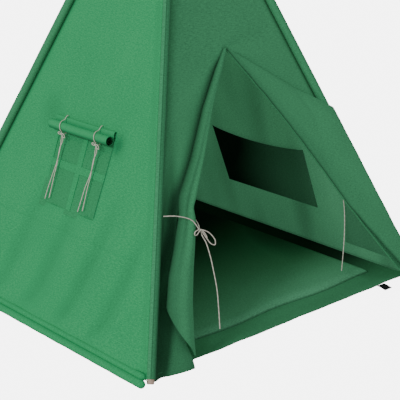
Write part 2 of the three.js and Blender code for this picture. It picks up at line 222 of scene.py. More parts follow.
def rim_faces(quads: Array, count: int) -> Array:
    """The faces that join each open edge of a surface to its copy.

    An edge is open when no other face has it the other way round.

    Args:
        quads: the surface's faces.
        count: how many numbers later the copy's points come.

    Returns:
        One face for each open edge.
    """
    ends = np.stack([quads, np.roll(quads, -1, axis=1)], axis=-1).reshape(-1, 2)
    key, back = ends[:, 0] * count + ends[:, 1], ends[:, 1] * count + ends[:, 0]
    a, b = ends[~np.isin(key, back)].T
    return np.stack([b, a, a + count, b + count], axis=1)


def nearer_hem(across: Array, up: Array, down: Array, gap: Array) -> Array:
    """The place along the nearer of a wall's foot and side hems, and the distance from it.

    Args:
        across: place along the foot.
        up: place along the side.
        down: distance from the foot.
        gap: distance from the side.

    Returns:
        Place and distance, last.
    """
    return np.where((down < gap)[..., None], np.stack([across, down], -1), np.stack([up, gap], -1))


def inside_edge(u: Array, v: Array, width: float, height: float) -> Array:
    """The distance inside the edge of an oblong patch, whose u and v run from 0 to 1."""
    return np.minimum(np.minimum(u, 1 - u) * width, np.minimum(v, 1 - v) * height)


def curve_through(points: Sequence[Sequence[float]], step: float) -> Array:
    """A smooth line through points, cut into even steps.

    Each stretch is the cubic that has the points' own places and slopes at its ends, where a point's
    slope is the difference of its neighbours over the distance between them along the line. A bell-shaped
    running mean then rounds off any turn sharper than the cord could make.

    Args:
        points: the points it goes through, in metres.
        step: the distance between the points it returns.

    Returns:
        The line's points, one row each.
    """
    p = np.asarray(points, float)
    s = distances(p)
    slope = np.gradient(p, s, axis=0)
    fine = np.linspace(0, s[-1], max(8, int(s[-1] / step * 4)))
    k = np.clip(np.searchsorted(s, fine, side="right") - 1, 0, len(s) - 2)
    h = (s[k + 1] - s[k])[:, None]
    t = ((fine - s[k]) / (s[k + 1] - s[k]))[:, None]
    line = (
        (2 * t**3 - 3 * t**2 + 1) * p[k]
        + (t**3 - 2 * t**2 + t) * h * slope[k]
        + (3 * t**2 - 2 * t**3) * p[k + 1]
        + (t**3 - t**2) * h * slope[k + 1]
    )
    share = np.hanning(15)[1:-1]
    reach = len(share) // 2
    spread = np.pad(line, ((reach, reach), (0, 0)), "edge")
    line = np.stack([np.convolve(spread[:, i], share / share.sum(), "valid") for i in range(3)], axis=1)
    along = distances(line)
    even = np.linspace(0, along[-1], max(6, int(round(along[-1] / step)) + 1))
    return np.stack([np.interp(even, along, line[:, i]) for i in range(3)], axis=1)


# ---------------------------------------------------------------- the tent's surfaces
class TentShape:
    """Places on the poles and on the walls stretched between them."""

    def __init__(self, sizes: TentSizes) -> None:
        self.sizes = sizes

    def axis(self, corner: Corner, z: Array | float) -> Array:
        """The point of a pole's axis at a height: a straight line from its foot to its pass point."""
        foot, by = corner.value
        s, z = self.sizes, np.asarray(z, float)
        t = z / s.cross_z
        x = foot[0] * s.half_base * (1 - t) + by[0] * s.swirl * t
        y = foot[1] * s.half_base * (1 - t) + by[1] * s.swirl * t
        return np.stack([x, y, z], axis=-1)

    def along_pole(self, corner: Corner, distance: Array | float) -> Array:
        """The point of a pole's axis at a distance from its foot."""
        s = self.sizes
        rise = np.linalg.norm(self.axis(corner, s.cross_z) - self.axis(corner, 0.0)) / s.cross_z
        return self.axis(corner, np.asarray(distance, float) / rise)

    def wall(self, side: Side, u: Array, z: Array, off: Array | float = 0.0) -> Array:
        """A point of a wall.

        It is the mix of the two pole axes at that height, moved along the wall's outward way.

        Args:
            side: which wall.
            u: 0 at its first pole and 1 at its second.
            z: the height before it is moved outwards.
            off: how far outside the plane of the poles.

        Returns:
            The points, with x, y and z last.
        """
        first, second, _, out = side.value
        u, z, off = np.broadcast_arrays(np.asarray(u, float), np.asarray(z, float), np.asarray(off, float))
        a, b = self.axis(first, z), self.axis(second, z)
        return a + (b - a) * u[..., None] + unit(np.array(out)) * off[..., None]

    def share(self, side: Side, across: Array, z: Array) -> Array:
        """The u of a wall's point from its x (front and back) or y (sides)."""
        first, second, k, _ = side.value
        a, b = self.axis(first, z)[..., k], self.axis(second, z)[..., k]
        return (np.asarray(across, float) - a) / (b - a)

    def at(self, side: Side, across: Array, z: Array, off: Array | float = 0.0) -> Array:
        """A wall's point from its x (front and back) or y (sides), height and outward distance."""
        return self.wall(side, self.share(side, across, np.asarray(z, float)), z, off)

    def edge(self, corner: Corner, axis: int, z: Array) -> Array:
        """One coordinate of a pole's axis at each height."""
        return self.axis(corner, z)[..., axis]


class Cloth:
    """A one-sided surface of four-cornered faces, with its flat coordinates, on its way to a mesh."""

    def __init__(self, points: Array, quads: Array, flat: Array, seam: Array) -> None:
        self.points, self.quads, self.flat, self.seam = points, quads, flat, seam
        self.shade = np.zeros(len(points))

    def worn(self, shade: Array) -> "Cloth":
        """Sets each point's painted shade, from 0 to 1, which darkens its colour in place of shadow."""
        self.shade = np.clip(shade, 0.0, 1.0).reshape(-1)
        return self

    @classmethod
    def grid(
        cls,
        points: Array,
        keep: Array | None = None,
        seam: Array | None = None,
        index: Array | None = None,
    ) -> "Cloth":
        """A surface from a grid of points.

        Its flat coordinates are the distances along the middle row and the middle column.

        Args:
            points: rows by columns by 3.
            keep: which of the grid's faces stay, rows - 1 by columns - 1.
            seam: for each point, the place along the nearest hem and the distance from it.
            index: the number of each grid point, where some points are shared.

        Returns:
            The surface.
        """
        rows, columns, _ = points.shape
        number = np.arange(rows * columns).reshape(rows, columns) if index is None else index
        quads = grid_faces(number)
        quads = quads.reshape(-1, 4) if keep is None else quads[keep]
        across, along = distances(points[rows // 2]), distances(points[:, columns // 2])
        width = np.linalg.norm(np.diff(points, axis=1), axis=2).sum(1)
        scale = (width / max(across[-1], 1e-9))[:, None]
        u = (across - across[-1] / 2)[None, :] * scale
        v = np.broadcast_to(along[:, None], u.shape)
        flat = np.stack([u, v], axis=-1).reshape(-1, 2)
        far = np.full((rows * columns, 2), 0.5) if seam is None else seam.reshape(-1, 2)
        return cls(points.reshape(-1, 3), quads, flat, far)

    def normals(self) -> Array:
        """Each point's normal: the sum of its faces' normals, each as long as the face is large."""
        p = self.points[self.quads]
        face = np.cross(p[:, 2] - p[:, 0], p[:, 3] - p[:, 1])
        total = np.zeros_like(self.points)
        for corner in range(4):
            np.add.at(total, self.quads[:, corner], face)
        return unit(total)

    def shell(self, thickness: float, middle: float = 0.0, inside: int = 0) -> "Solid":
        """The surface thickened to a closed shell.

        Every point is moved half the thickness each way along its normal, and each open edge is
        closed by a face between its two layers.

        Args:
            thickness: the cloth's thickness.
            middle: how far the shell's middle is moved along the normals.
            inside: 1 if the normals point into the tent, -1 if they point out, 0 for neither.

        Returns:
            The closed shell.
        """
        used = np.unique(self.quads)
        number = np.full(len(self.points), -1)
        number[used] = np.arange(len(used))
        quads, n = number[self.quads], len(used)
        points, normals = self.points[used], self.normals()[used]
        top = points + normals * (middle + thickness / 2)
        bottom = points + normals * (middle - thickness / 2)
        faces = np.concatenate([quads, quads[:, ::-1] + n, rim_faces(quads, n)])
        flat, seam = (np.tile(v[used], (2, 1)) for v in (self.flat, self.seam))
        under = np.repeat([float(inside > 0), float(inside < 0)], n)
        layer = np.stack([under, np.tile(self.shade[used], 2)], axis=1)
        return Solid(np.concatenate([top, bottom]), faces, flat, seam, layer)


class Solid:
    """A closed mesh with flat coordinates and seam distances, ready for Blender."""

    def __init__(
        self, points: Array, faces: Array, flat: Array, seam: Array, layer: Array | None = None
    ) -> None:
        self.points, self.faces, self.flat, self.seam = points, faces, flat, seam
        self.layer = np.zeros((len(points), 2)) if layer is None else layer

    @classmethod
    def tube(
        cls,
        path: Array,
        radius: Array | float,
        sides: int,
        profile: Callable[[Array, Array], Array] | None = None,
    ) -> "Solid":
        """A round body along a line, with its ends closed.

        Each ring lies across the line. Its start is turned so that rings don't twist: the turn left
        over between neighbouring rings, found by carrying one ring's start to the next by the
        smallest rotation, is added up along the line and taken away.

        Args:
            path: the line's points.
            radius: one radius, or one for each point.
            sides: points in a ring.
            profile: what to multiply the radius by, from the angle and the distance along.

        Returns:
            The closed tube.
        """
        t = unit(np.gradient(path, axis=0))
        aim = np.eye(3)[np.argmin(np.abs(t).max(axis=0))]
        first = unit(aim - (t @ aim)[:, None] * t)
        a, b, n = t[:-1], t[1:], first[:-1]
        share = (n * b).sum(1) / (1 + (a * b).sum(1))
        carried = n - share[:, None] * (a + b)
        turn = np.arctan2(
            (np.cross(carried, first[1:]) * b).sum(1),
            (carried * first[1:]).sum(1),
        )
        angle = -np.concatenate([[0.0], np.cumsum(turn)])[:, None]
        second = np.cross(t, first)
        start = first * np.cos(angle) + second * np.sin(angle)
        other = np.cross(t, start)
        s = distances(path)
        turn_to = np.linspace(0, 2 * np.pi, sides, endpoint=False)
        phi, along = np.meshgrid(turn_to, s)
        r = np.broadcast_to(np.asarray(radius, float).reshape(-1, 1), phi.shape)
        r = r * (1.0 if profile is None else profile(phi, along))
        rings = (
            path[:, None, :]
            + start[:, None, :] * (r * np.cos(phi))[..., None]
            + other[:, None, :] * (r * np.sin(phi))[..., None]
        )
        rows = len(path)
        number = np.arange(rows * sides).reshape(rows, sides)
        right = np.roll(number, -1, axis=1)
        faces = np.stack([number[:-1], right[:-1], right[1:], number[1:]], axis=-1).reshape(-1, 4)
        head, tail = rows * sides, rows * sides + 1
        low = np.stack([right[0], number[0], np.full(sides, head), np.full(sides, head)], axis=1)
        high = np.stack([number[-1], right[-1], np.full(sides, tail), np.full(sides, tail)], axis=1)
        points = np.concatenate([rings.reshape(-1, 3), path[:1], path[-1:]])
        girth = float(np.mean(r))
        flat = np.stack([phi * girth, along], axis=-1).reshape(-1, 2)
        flat = np.concatenate([flat, [[0.0, 0.0], [0.0, s[-1]]]])
        return cls(points, np.concatenate([faces, low, high]), flat, np.full((len(points), 2), 0.5))

    def outward(self) -> "Solid":
        """The same solid with its faces turned to point out, from the sign of its volume."""
        p = self.points[self.faces]
        volume = (p[:, 0] * np.cross(p[:, 1], p[:, 2])).sum() + (p[:, 0] * np.cross(p[:, 2], p[:, 3])).sum()
        if volume < 0:
            self.faces = self.faces[:, ::-1]
        return self

    def build(self, name: str, material: bpy.types.Material) -> bpy.types.Object:
        """The Blender object, shaded smooth except across edges sharper than 50 degrees.

        A face that names the same point twice running becomes a triangle.

        Args:
            name: the object's name.
            material: its one material.

        Returns:
            The object, at the origin, with its place in its mesh.
        """
        self.outward()
        kept = self.faces != np.roll(self.faces, 1, axis=1)
        corner, count = self.faces[kept].astype(np.int32), kept.sum(axis=1)
        mesh = bpy.data.meshes.new(name)
        mesh.vertices.add(len(self.points))
        mesh.vertices.foreach_set("co", self.points.astype(np.float32).ravel())
        mesh.loops.add(len(corner))
        mesh.loops.foreach_set("vertex_index", corner)
        mesh.polygons.add(len(count))
        mesh.polygons.foreach_set("loop_start", (np.cumsum(count) - count).astype(np.int32))
        mesh.update(calc_edges=True)
        for layer, values in (("UVMap", self.flat), ("Seam", self.seam), ("Layer", self.layer)):
            uv = mesh.uv_layers.new(name=layer)
            uv.data.foreach_set("uv", values[corner].astype(np.float32).ravel())
        mesh.polygons.foreach_set("use_smooth", np.ones(len(count), bool))
        mesh.materials.append(material)
        mesh.update()
        obj = bpy.data.objects.new(name, mesh)
        bpy.context.scene.collection.objects.link(obj)
        mesh.set_sharp_from_angle(angle=math.radians(50))
        return obj


# ---------------------------------------------------------------- shaders
class Wire:
    """One shader socket that takes part in arithmetic."""

    def __init__(self, graph: "Graph", socket: bpy.types.NodeSocket) -> None:
        self.graph, self.socket = graph, socket

    def _do(self, operation: str, *others: "Wire | float", flip: bool = False) -> "Wire":
        """A math node on this wire and others, with this wire last if flip is set."""
        order = [*others, self] if flip else [self, *others]
        return self.graph.maths(operation, *order)

    def __add__(self, o: "Wire | float") -> "Wire":
        return self._do("ADD", o)

    def __radd__(self, o: float) -> "Wire":
        return self._do("ADD", o, flip=True)

    def __sub__(self, o: "Wire | float") -> "Wire":
        return self._do("SUBTRACT", o)

    def __rsub__(self, o: float) -> "Wire":
        return self._do("SUBTRACT", o, flip=True)

    def __mul__(self, o: "Wire | float") -> "Wire":
        return self._do("MULTIPLY", o)

    def __rmul__(self, o: float) -> "Wire":
        return self._do("MULTIPLY", o, flip=True)

    def __truediv__(self, o: "Wire | float") -> "Wire":
        return self._do("DIVIDE", o)

    def __rtruediv__(self, o: float) -> "Wire":
        return self._do("DIVIDE", o, flip=True)

    def __lt__(self, o: "Wire | float") -> "Wire":
        return self._do("LESS_THAN", o)

    def __gt__(self, o: "Wire | float") -> "Wire":
        return self._do("GREATER_THAN", o)

    def sine(self) -> "Wire":
        """The sine of the value."""
        return self._do("SINE")

    def fraction(self) -> "Wire":
        """The value less the whole number below it."""
        return self._do("FRACT")

    def size(self) -> "Wire":
        """The value without its sign."""
        return self._do("ABSOLUTE")


class Graph:
    """A material's node tree, built from expressions."""

    def __init__(self, name: str) -> None:
        self.material = bpy.data.materials.new(name)
        self.material.use_nodes = True
        self.tree = self.material.node_tree
        self.tree.nodes.clear()

    def put(self, socket: bpy.types.NodeSocket, value: object) -> None:
        """Links a wire to a socket, or sets the socket's own value."""
        if isinstance(value, Wire):
            self.tree.links.new(value.socket, socket)
        else:
            socket.default_value = value

    def maths(self, operation: str, *values: "Wire | float") -> Wire:
        """A math node."""
        node = self.tree.nodes.new("ShaderNodeMath")
        node.operation = operation
        for socket, value in zip(node.inputs, values):
            self.put(socket, value)
        return Wire(self, node.outputs[0])

    def node(self, kind: str, out: str | int = 0, settings: dict | None = None, **inputs: object) -> Wire:
        """Any other node.

        Args:
            kind: the node's type, without ShaderNode.
            out: its output's name or number.
            settings: its own properties.
            inputs: values or wires for its inputs, with _ for a space in their names.

        Returns:
            The output as a wire.
        """
        node = self.tree.nodes.new("ShaderNode" + kind)
        for key, value in (settings or {}).items():
            setattr(node, key, value)
        for key, value in inputs.items():
            self.put(node.inputs[key.replace("_", " ")], value)
        return Wire(self, node.outputs[out])

    def uv(self, layer: str) -> tuple[Wire, Wire]:
        """The two coordinates of a UV layer."""
        vector = self.node("UVMap", settings={"uv_map": layer})
        split = self.tree.nodes.new("ShaderNodeSeparateXYZ")
        self.put(split.inputs[0], vector)
        return Wire(self, split.outputs[0]), Wire(self, split.outputs[1])

    def noise(self, vector: Wire, scale: float, detail: float = 2.0) -> Wire:
        """Fractal noise from 0 to 1."""
        return self.node("TexNoise", "Fac", Vector=vector, Scale=scale, Detail=detail, Roughness=0.6)

    def vector(self, x: Wire | float, y: Wire | float, z: Wire | float = 0.0) -> Wire:
        """Three values as a vector."""
        return self.node("CombineXYZ", X=x, Y=y, Z=z)

    def shade(self, low: Sequence[float], high: Sequence[float], share: Wire) -> Wire:
        """A colour between two colours."""
        node = self.tree.nodes.new("ShaderNodeMix")
        node.data_type = "RGBA"
        self.put(node.inputs[0], share)
        self.put(node.inputs[6], (*low, 1.0))
        self.put(node.inputs[7], (*high, 1.0))
        return Wire(self, node.outputs[2])

    def finish(self, bump: Wire, distance: float, strength: float, **inputs: object) -> bpy.types.Material:
        """Closes the graph with one Principled shader.

        Args:
            bump: the height of the surface.
            distance: how high a height of 1 stands, in metres.
            strength: how strongly it shows.
            inputs: the shader's other inputs.

        Returns:
            The material.
        """
        normal = self.node("Bump", Strength=strength, Distance=distance, Height=bump)
        shader = self.node("BsdfPrincipled", Normal=normal, **inputs)
        output = self.tree.nodes.new("ShaderNodeOutputMaterial")
        self.tree.links.new(shader.socket, output.inputs["Surface"])
        return self.material


class Materials:
    """Every finish as a material, made once."""

    def __init__(self) -> None:
        self.made: dict[str, bpy.types.Material] = {}

    def cloth(self, finish: ClothFinish) -> bpy.types.Material:
        """Plain-woven cotton.

        Threads are the product of two sines across each other. Slubs are noise drawn out along the
        weft, specks are fine noise, and mottling is broad noise in the object's own space. A row of
        stitches runs beside each hem, with a groove under it. Each point's painted shade darkens the
        colour in place of shadow in creases and shaded places. Light that comes through the cloth is
        painted as a faint glow on the side that faces into the tent.
        """
        if finish.name in self.made:
            return self.made[finish.name]
        g = Graph(finish.name)
        u, v = g.uv("UVMap")
        place = g.node("TexCoord", "Object")
        pitch = math.pi / finish.thread
        weave = (u * pitch).sine() * (v * pitch).sine()
        slub = g.noise(g.vector(u * 105.0, v * 330.0), 1.0, 2.0)
        warp = g.noise(g.vector(u * 640.0, v * 120.0, 3.0), 1.0, 1.0)
        speck = g.noise(g.vector(u * 260.0, v * 330.0, 7.0), 1.0, 3.0)
        broad = g.noise(place, 3.4, 3.0)
        cloud = g.noise(place, 14.0, 2.0)
        value = 1.0 + (slub - 0.5) * finish.grain + (speck - 0.5) * finish.grain
        value = value + (warp - 0.5) * (0.5 * finish.grain) + weave * 0.03
        value = value + (broad - 0.5) * finish.mottle + (cloud - 0.5) * (0.5 * finish.mottle)
        height = weave * 0.5 + slub * 0.9 + speck * 0.7
        if finish.stitched:
            along, away = g.uv("Seam")
            row = (away - 0.0065).size() < 0.0011
            dash = (along / 0.0042).fraction() < 0.66
            thread = row * dash
            groove = (away - 0.0065).size() < 0.0024
            fold = away < 0.0012
            # The groove and the cloth's turn at the hem's edge are darkened: painted shade. The lighter
            # thread is its own colour.
            value = value * (1.0 + thread * 0.16 - groove * 0.09 - fold * 0.25)
            height = height + thread * 1.2 - groove * 1.4
        # Layer holds the inside-face flag for the painted glow, and the painted shade that darkens the
        # colour.
        under, crease = g.uv("Layer")
        value = value * (1.0 - crease * 0.985)
        black, double = (0.0, 0.0, 0.0), [min(1.0, c * 2) for c in finish.color]
        self.made[finish.name] = g.finish(
            height,
            0.0004,
            finish.bump,
            Base_Color=g.shade(black, double, value * 0.5),
            Roughness=finish.roughness + (slub - 0.5) * 0.08,
            Specular_IOR_Level=0.18,
            Emission_Color=g.shade(black, double, under * value * 0.5),
            Emission_Strength=finish.glow,
        )
        return self.made[finish.name]

    def plain(self, finish: PlainFinish) -> bpy.types.Material:
        """Wood, metal or cord.

        Wood has long grain from noise squeezed along the pole, with darker rings. Metal has fine
        drawing lines. Cord has slanting strands, from the fraction of a helix round it.
        """
        if finish.name in self.made:
            return self.made[finish.name]
        g = Graph(finish.name)
        u, v = g.uv("UVMap")
        place = g.node("TexCoord", "Object")
        if finish is CORD:
            strand = ((u * 94.0 + v * 62.0) * 3.0 * 2.0).sine() * 0.5 + 0.5
            fuzz = g.noise(g.vector(u * 900.0, v * 900.0), 1.0, 2.0)
            share, height, distance = strand * 0.75 + fuzz * 0.25, strand + fuzz * 0.5, 0.0005
        elif finish is METAL:
            line = g.noise(g.vector(u * 1800.0, v * 12.0), 1.0, 2.0)
            share, height, distance = line, line, 0.00004
        else:
            grain = g.noise(g.vector(u * 130.0, v * 5.0), 1.0, 4.0)
            ring = ((grain * 26.0).sine() * 0.5 + 0.5) * 0.5
            pore = g.noise(g.vector(u * 900.0, v * 40.0), 1.0, 2.0)
            share, height, distance = 1.0 - ring * 0.7 - (pore - 0.5) * 0.5, pore + ring, 0.0002
        tone = g.noise(place, 9.0, 2.0)
        color = g.shade(finish.second, finish.color, share * 0.8 + tone * 0.3)
        rough = finish.roughness + (tone - 0.5) * 0.15
        self.made[finish.name] = g.finish(
            height, distance, 0.5, Base_Color=color, Roughness=rough, Metallic=finish.metallic
        )
        return self.made[finish.name]


# ---------------------------------------------------------------- the parts
class Part:
    """What every group of pieces shares: the tent's shape, its sizes and its materials."""

    def __init__(self, shape: TentShape, materials: Materials) -> None:
        self.shape, self.sizes, self.materials = shape, shape.sizes, materials

    def place(
        self,
        obj: bpy.types.Object,
        body: str | None,
        slot: str,
        nodes: Sequence[str] = (),
    ) -> bpy.types.Object:
        """Hides the CAD nodes a piece stands for and puts it on its CAD body, or hands it to hang if body is
        None.

        Args:
            obj: the piece.
            body: the CAD body it rides on.
            slot: not used.
            nodes: the CAD nodes it stands for.

        Returns:
            The piece.
        """
        if nodes:
            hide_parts(*nodes)
        if body is None:
            self.hang(obj)
        else:
            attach(obj, body)
        return obj

    def sew(
        self, name: str, solid: Solid, finish: ClothFinish, body: str | None, nodes: Sequence[str] = ()
    ) -> bpy.types.Object:
        """Builds a cloth piece in its finish's material and places it."""
        return self.place(solid.build(name, self.materials.cloth(finish)), body, finish.slot, nodes)

    def string(
        self, name: str, path: Array, radius: float, body: str | None, nodes: Sequence[str] = ()
    ) -> None:
        """A loose cord that hangs from its path's first point and ends bare."""
        obj = self.place(rope(path, radius).build(name, self.materials.plain(CORD)), body, "cord", nodes)

    def on_wall(self, side: Side, rows: Sequence[Sequence[float]]) -> Array:
        """Places from millimetres: across the wall, up, and out from it."""
        across, up, out = np.array(rows, float).T * 0.001
        return self.shape.at(side, across, up, out)

    def hang(self, obj: bpy.types.Object) -> None:
        """Bakes a piece's place into its mesh and works out each point's share of the back frame's turn, for
        weigh.

        Seen along X, a point's angle about the crossing is atan(y / (crossing height - z)). Its share
        of the back frame's turn is where that angle lies between the front and the back poles', with
        the first and the last 4 per cent of the way held to the nearer frame.
        """
        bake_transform(obj)
        place = np.zeros(len(obj.data.vertices) * 3)
        obj.data.vertices.foreach_get("co", place)
        x, y, z = place.reshape(-1, 3).T
        z = np.clip(z, 0.0, self.sizes.cloth_top)
        drop = self.sizes.cross_z - z
        edge = self.shape.edge
        front = np.where(x > 0, edge(Corner.FRONT_RIGHT, 1, z), edge(Corner.FRONT_LEFT, 1, z))
        back = np.where(x > 0, edge(Corner.BACK_RIGHT, 1, z), edge(Corner.BACK_LEFT, 1, z))
        angle, low, high = (np.arctan2(v, drop) for v in (y, front, back))
        held = 0.04
        self.weigh(obj, np.clip(((angle - low) / (high - low) - held) / (1 - 2 * held), 0.0, 1.0))

    def weigh(self, obj: bpy.types.Object, weight: Array) -> None:
        """Takes each point's share of the second body of a piece that hangs between two, and does nothing
        with it.
        """


class Poles(Part):
    """Four poles, each two dowels in a metal ferrule, and the lashing at their crossing."""

    def build(self) -> None:
        """Makes every pole's pieces and the lashing."""
        for corner in Corner:
            self.pole(corner)
        self.lashing()

    def rod(self, corner: Corner, low: float, high: float, round_low: bool, round_high: bool) -> Solid:
        """A dowel along a pole, with its free end's edge rounded by 4 mm.

        At a distance d inside such an end the radius is r - e + sqrt(2 e d - d^2), where e is the
        rounding's own radius.
        """
        r, e = self.sizes.pole_radius, 0.0040
        ease = (1 - np.cos(np.linspace(0.25, np.pi / 2, 9))) * e / r
        ends = np.linspace(0.0, 0.0012, 4)
        head = low + r * ease if round_low else low + ends
        tail = high - r * ease[::-1] if round_high else high - ends[::-1]
        s = np.concatenate([head, np.linspace(head[-1], tail[0], 40)[1:-1], tail])
        radius = np.full(len(s), r)
        if round_low:
            d = np.clip(s - low, 0, e)
            radius = np.minimum(radius, r - e + np.sqrt(2 * e * d - d * d))
        if round_high:
            d = np.clip(high - s, 0, e)
            radius = np.minimum(radius, r - e + np.sqrt(2 * e * d - d * d))
        radius = radius * (1 + 0.006 * np.sin(s * 9.0))
        return Solid.tube(self.shape.along_pole(corner, s), radius, 28)

    def pole(self, corner: Corner) -> None:
        """The two dowels of one pole, and its ferrule with a groove round its middle."""
        s, node = self.sizes, corner.node
        foot, joint_gap = 0.0043, 0.0004
        wood, metal = self.materials.plain(WOOD), self.materials.plain(METAL)
        lower = self.rod(corner, foot, s.pole_joint, True, False)
        upper = self.rod(corner, s.pole_joint + joint_gap, s.pole_length, False, True)
        for part, solid in (("lower", lower), ("upper", upper)):
            obj = solid.build(f"wood_{node}_{part}", wood)
            self.place(obj, corner.body, "wood", [f"pole_{node}_{part}"])
        reach = s.ferrule_length / 2
        edge, ring_low, ring_high = reach - 0.0006, 0.001, 0.004
        along = np.array([-reach, -edge, -ring_high, -ring_low, ring_low, ring_high, edge, reach])
        thin, full = 0.0118, 0.0122
        radius = np.array([thin, full, full, thin, thin, full, full, thin])
        ring = Solid.tube(self.shape.along_pole(corner, s.pole_joint + along), radius, 28)
        self.place(ring.build(f"tube_{node}", metal), corner.body, "metal", [f"ferrule_{node}"])

    def lashing(self) -> None:
        """A coil of cord round the four poles: a helix of a little over three turns."""
        turns, height, r = 3.2, 0.0228, 0.042
        t = np.linspace(0, turns * 2 * np.pi, 260)
        rise = (t / t[-1] - 0.5) * height
        path = np.stack([r * np.cos(t), r * np.sin(t), self.sizes.cross_z + rise], axis=1)
        obj = rope(path, 0.003).build("lashing", self.materials.plain(CORD))
        self.place(obj, "front_frame", "cord", ["lashing_cord"])


def rope(path: Array, radius: float) -> Solid:
    """A three-strand cord along a line.

    The radius swells and shrinks three times round, by 12 per cent, and the swell turns once in
    every seven radii along it.

    Args:
        path: the cord's centreline.
        radius: its outer radius.

    Returns:
        The cord's solid.
    """

    def strands(phi: Array, along: Array) -> Array:
        """The share of the radius at an angle and a distance along."""
        return 0.88 + 0.12 * np.abs(np.cos(1.5 * (phi - 2 * np.pi * along / (radius * 7))))

    return Solid.tube(path, radius, 18, strands)


class Sleeves(Part):
    """The cloth channels that hold the poles, one in each corner."""

    def build(self) -> None:
        """Makes the four sleeves."""
        for corner in Corner:
            self.sleeve(corner)

    def sleeve(self, corner: Corner) -> None:
        """One sleeve: a soft tube round its pole with a flat seam allowance along its outer edge.

        Round the pole the radius is the sleeve's own, with slow ripples of half a millimetre. Within
        a narrow bell at the outermost angle it grows by the seam allowance. A pole is 1.137 times as
        long as it is high, and the stitching stands 0.62 of a radian to each side. The back sleeves
        reach 10 mm lower. On the near one, painted shade draws two dark lines where its cloth turns
        and darkens one side of its round.
        """
        s = self.sizes
        near, slope, stitch = corner is Corner.FRONT_LEFT, 1.137, 0.62
        low = 0.007 if corner.body == "back_frame" else s.sleeve_low
        z = np.linspace(low, s.cloth_top, 150)
        path = self.shape.axis(corner, z)
        t = unit(path[-1] - path[0])
        (fx, fy), _ = corner.value
        out = unit(np.array([fx, fy, 0.0]))
        out = unit(out - (out @ t) * t)
        side = np.cross(t, out)
        phi = np.linspace(-np.pi, np.pi, 72, endpoint=False)
        p, zz = np.meshgrid(phi, z)
        wave = 0.0005 * ripple(p * 0.02, zz, 11 + len(corner.node), 0.16)
        r = s.sleeve_radius + wave + 0.0012 * bell(p, 0.0, 0.16)
        ring = out * (r * np.cos(p))[..., None] + side * (r * np.sin(p))[..., None]
        points = path[:, None, :] + ring
        number = np.arange(p.size).reshape(p.shape)
        quads = grid_faces(np.concatenate([number, number[:, :1]], axis=1)).reshape(-1, 4)
        away = np.minimum(np.abs(np.abs(p) - stitch), 0.6) * s.sleeve_radius
        seam = np.stack([zz, away + 0.0035], axis=-1).reshape(-1, 2)
        flat = np.stack([p * s.sleeve_radius, zz * slope], axis=-1).reshape(-1, 2)
        lines = np.maximum(bell(p, 0.10, 0.09), 0.8 * bell(p, 1.15, 0.12))
        cloth = Cloth(points.reshape(-1, 3), quads, flat, seam)
        # Painted shade on the near sleeve: two lines where its cloth turns, and its shaded side.
        cloth.worn(near * (0.42 * lines + 0.22 * smoothstep(p, 0.0, 0.3)))
        solid = cloth.shell(s.cloth, -0.0004)
        name = f"pole_sleeve_{corner.node}"
        obj = self.sew(name, solid, CANVAS_SLEEVE, corner.body, [f"sleeve_{corner.node}"])
        f"wood_{corner.node}_lower"


# Where a wall starts beside a pole's axis: the sleeve's radius.
INSET = 0.0140


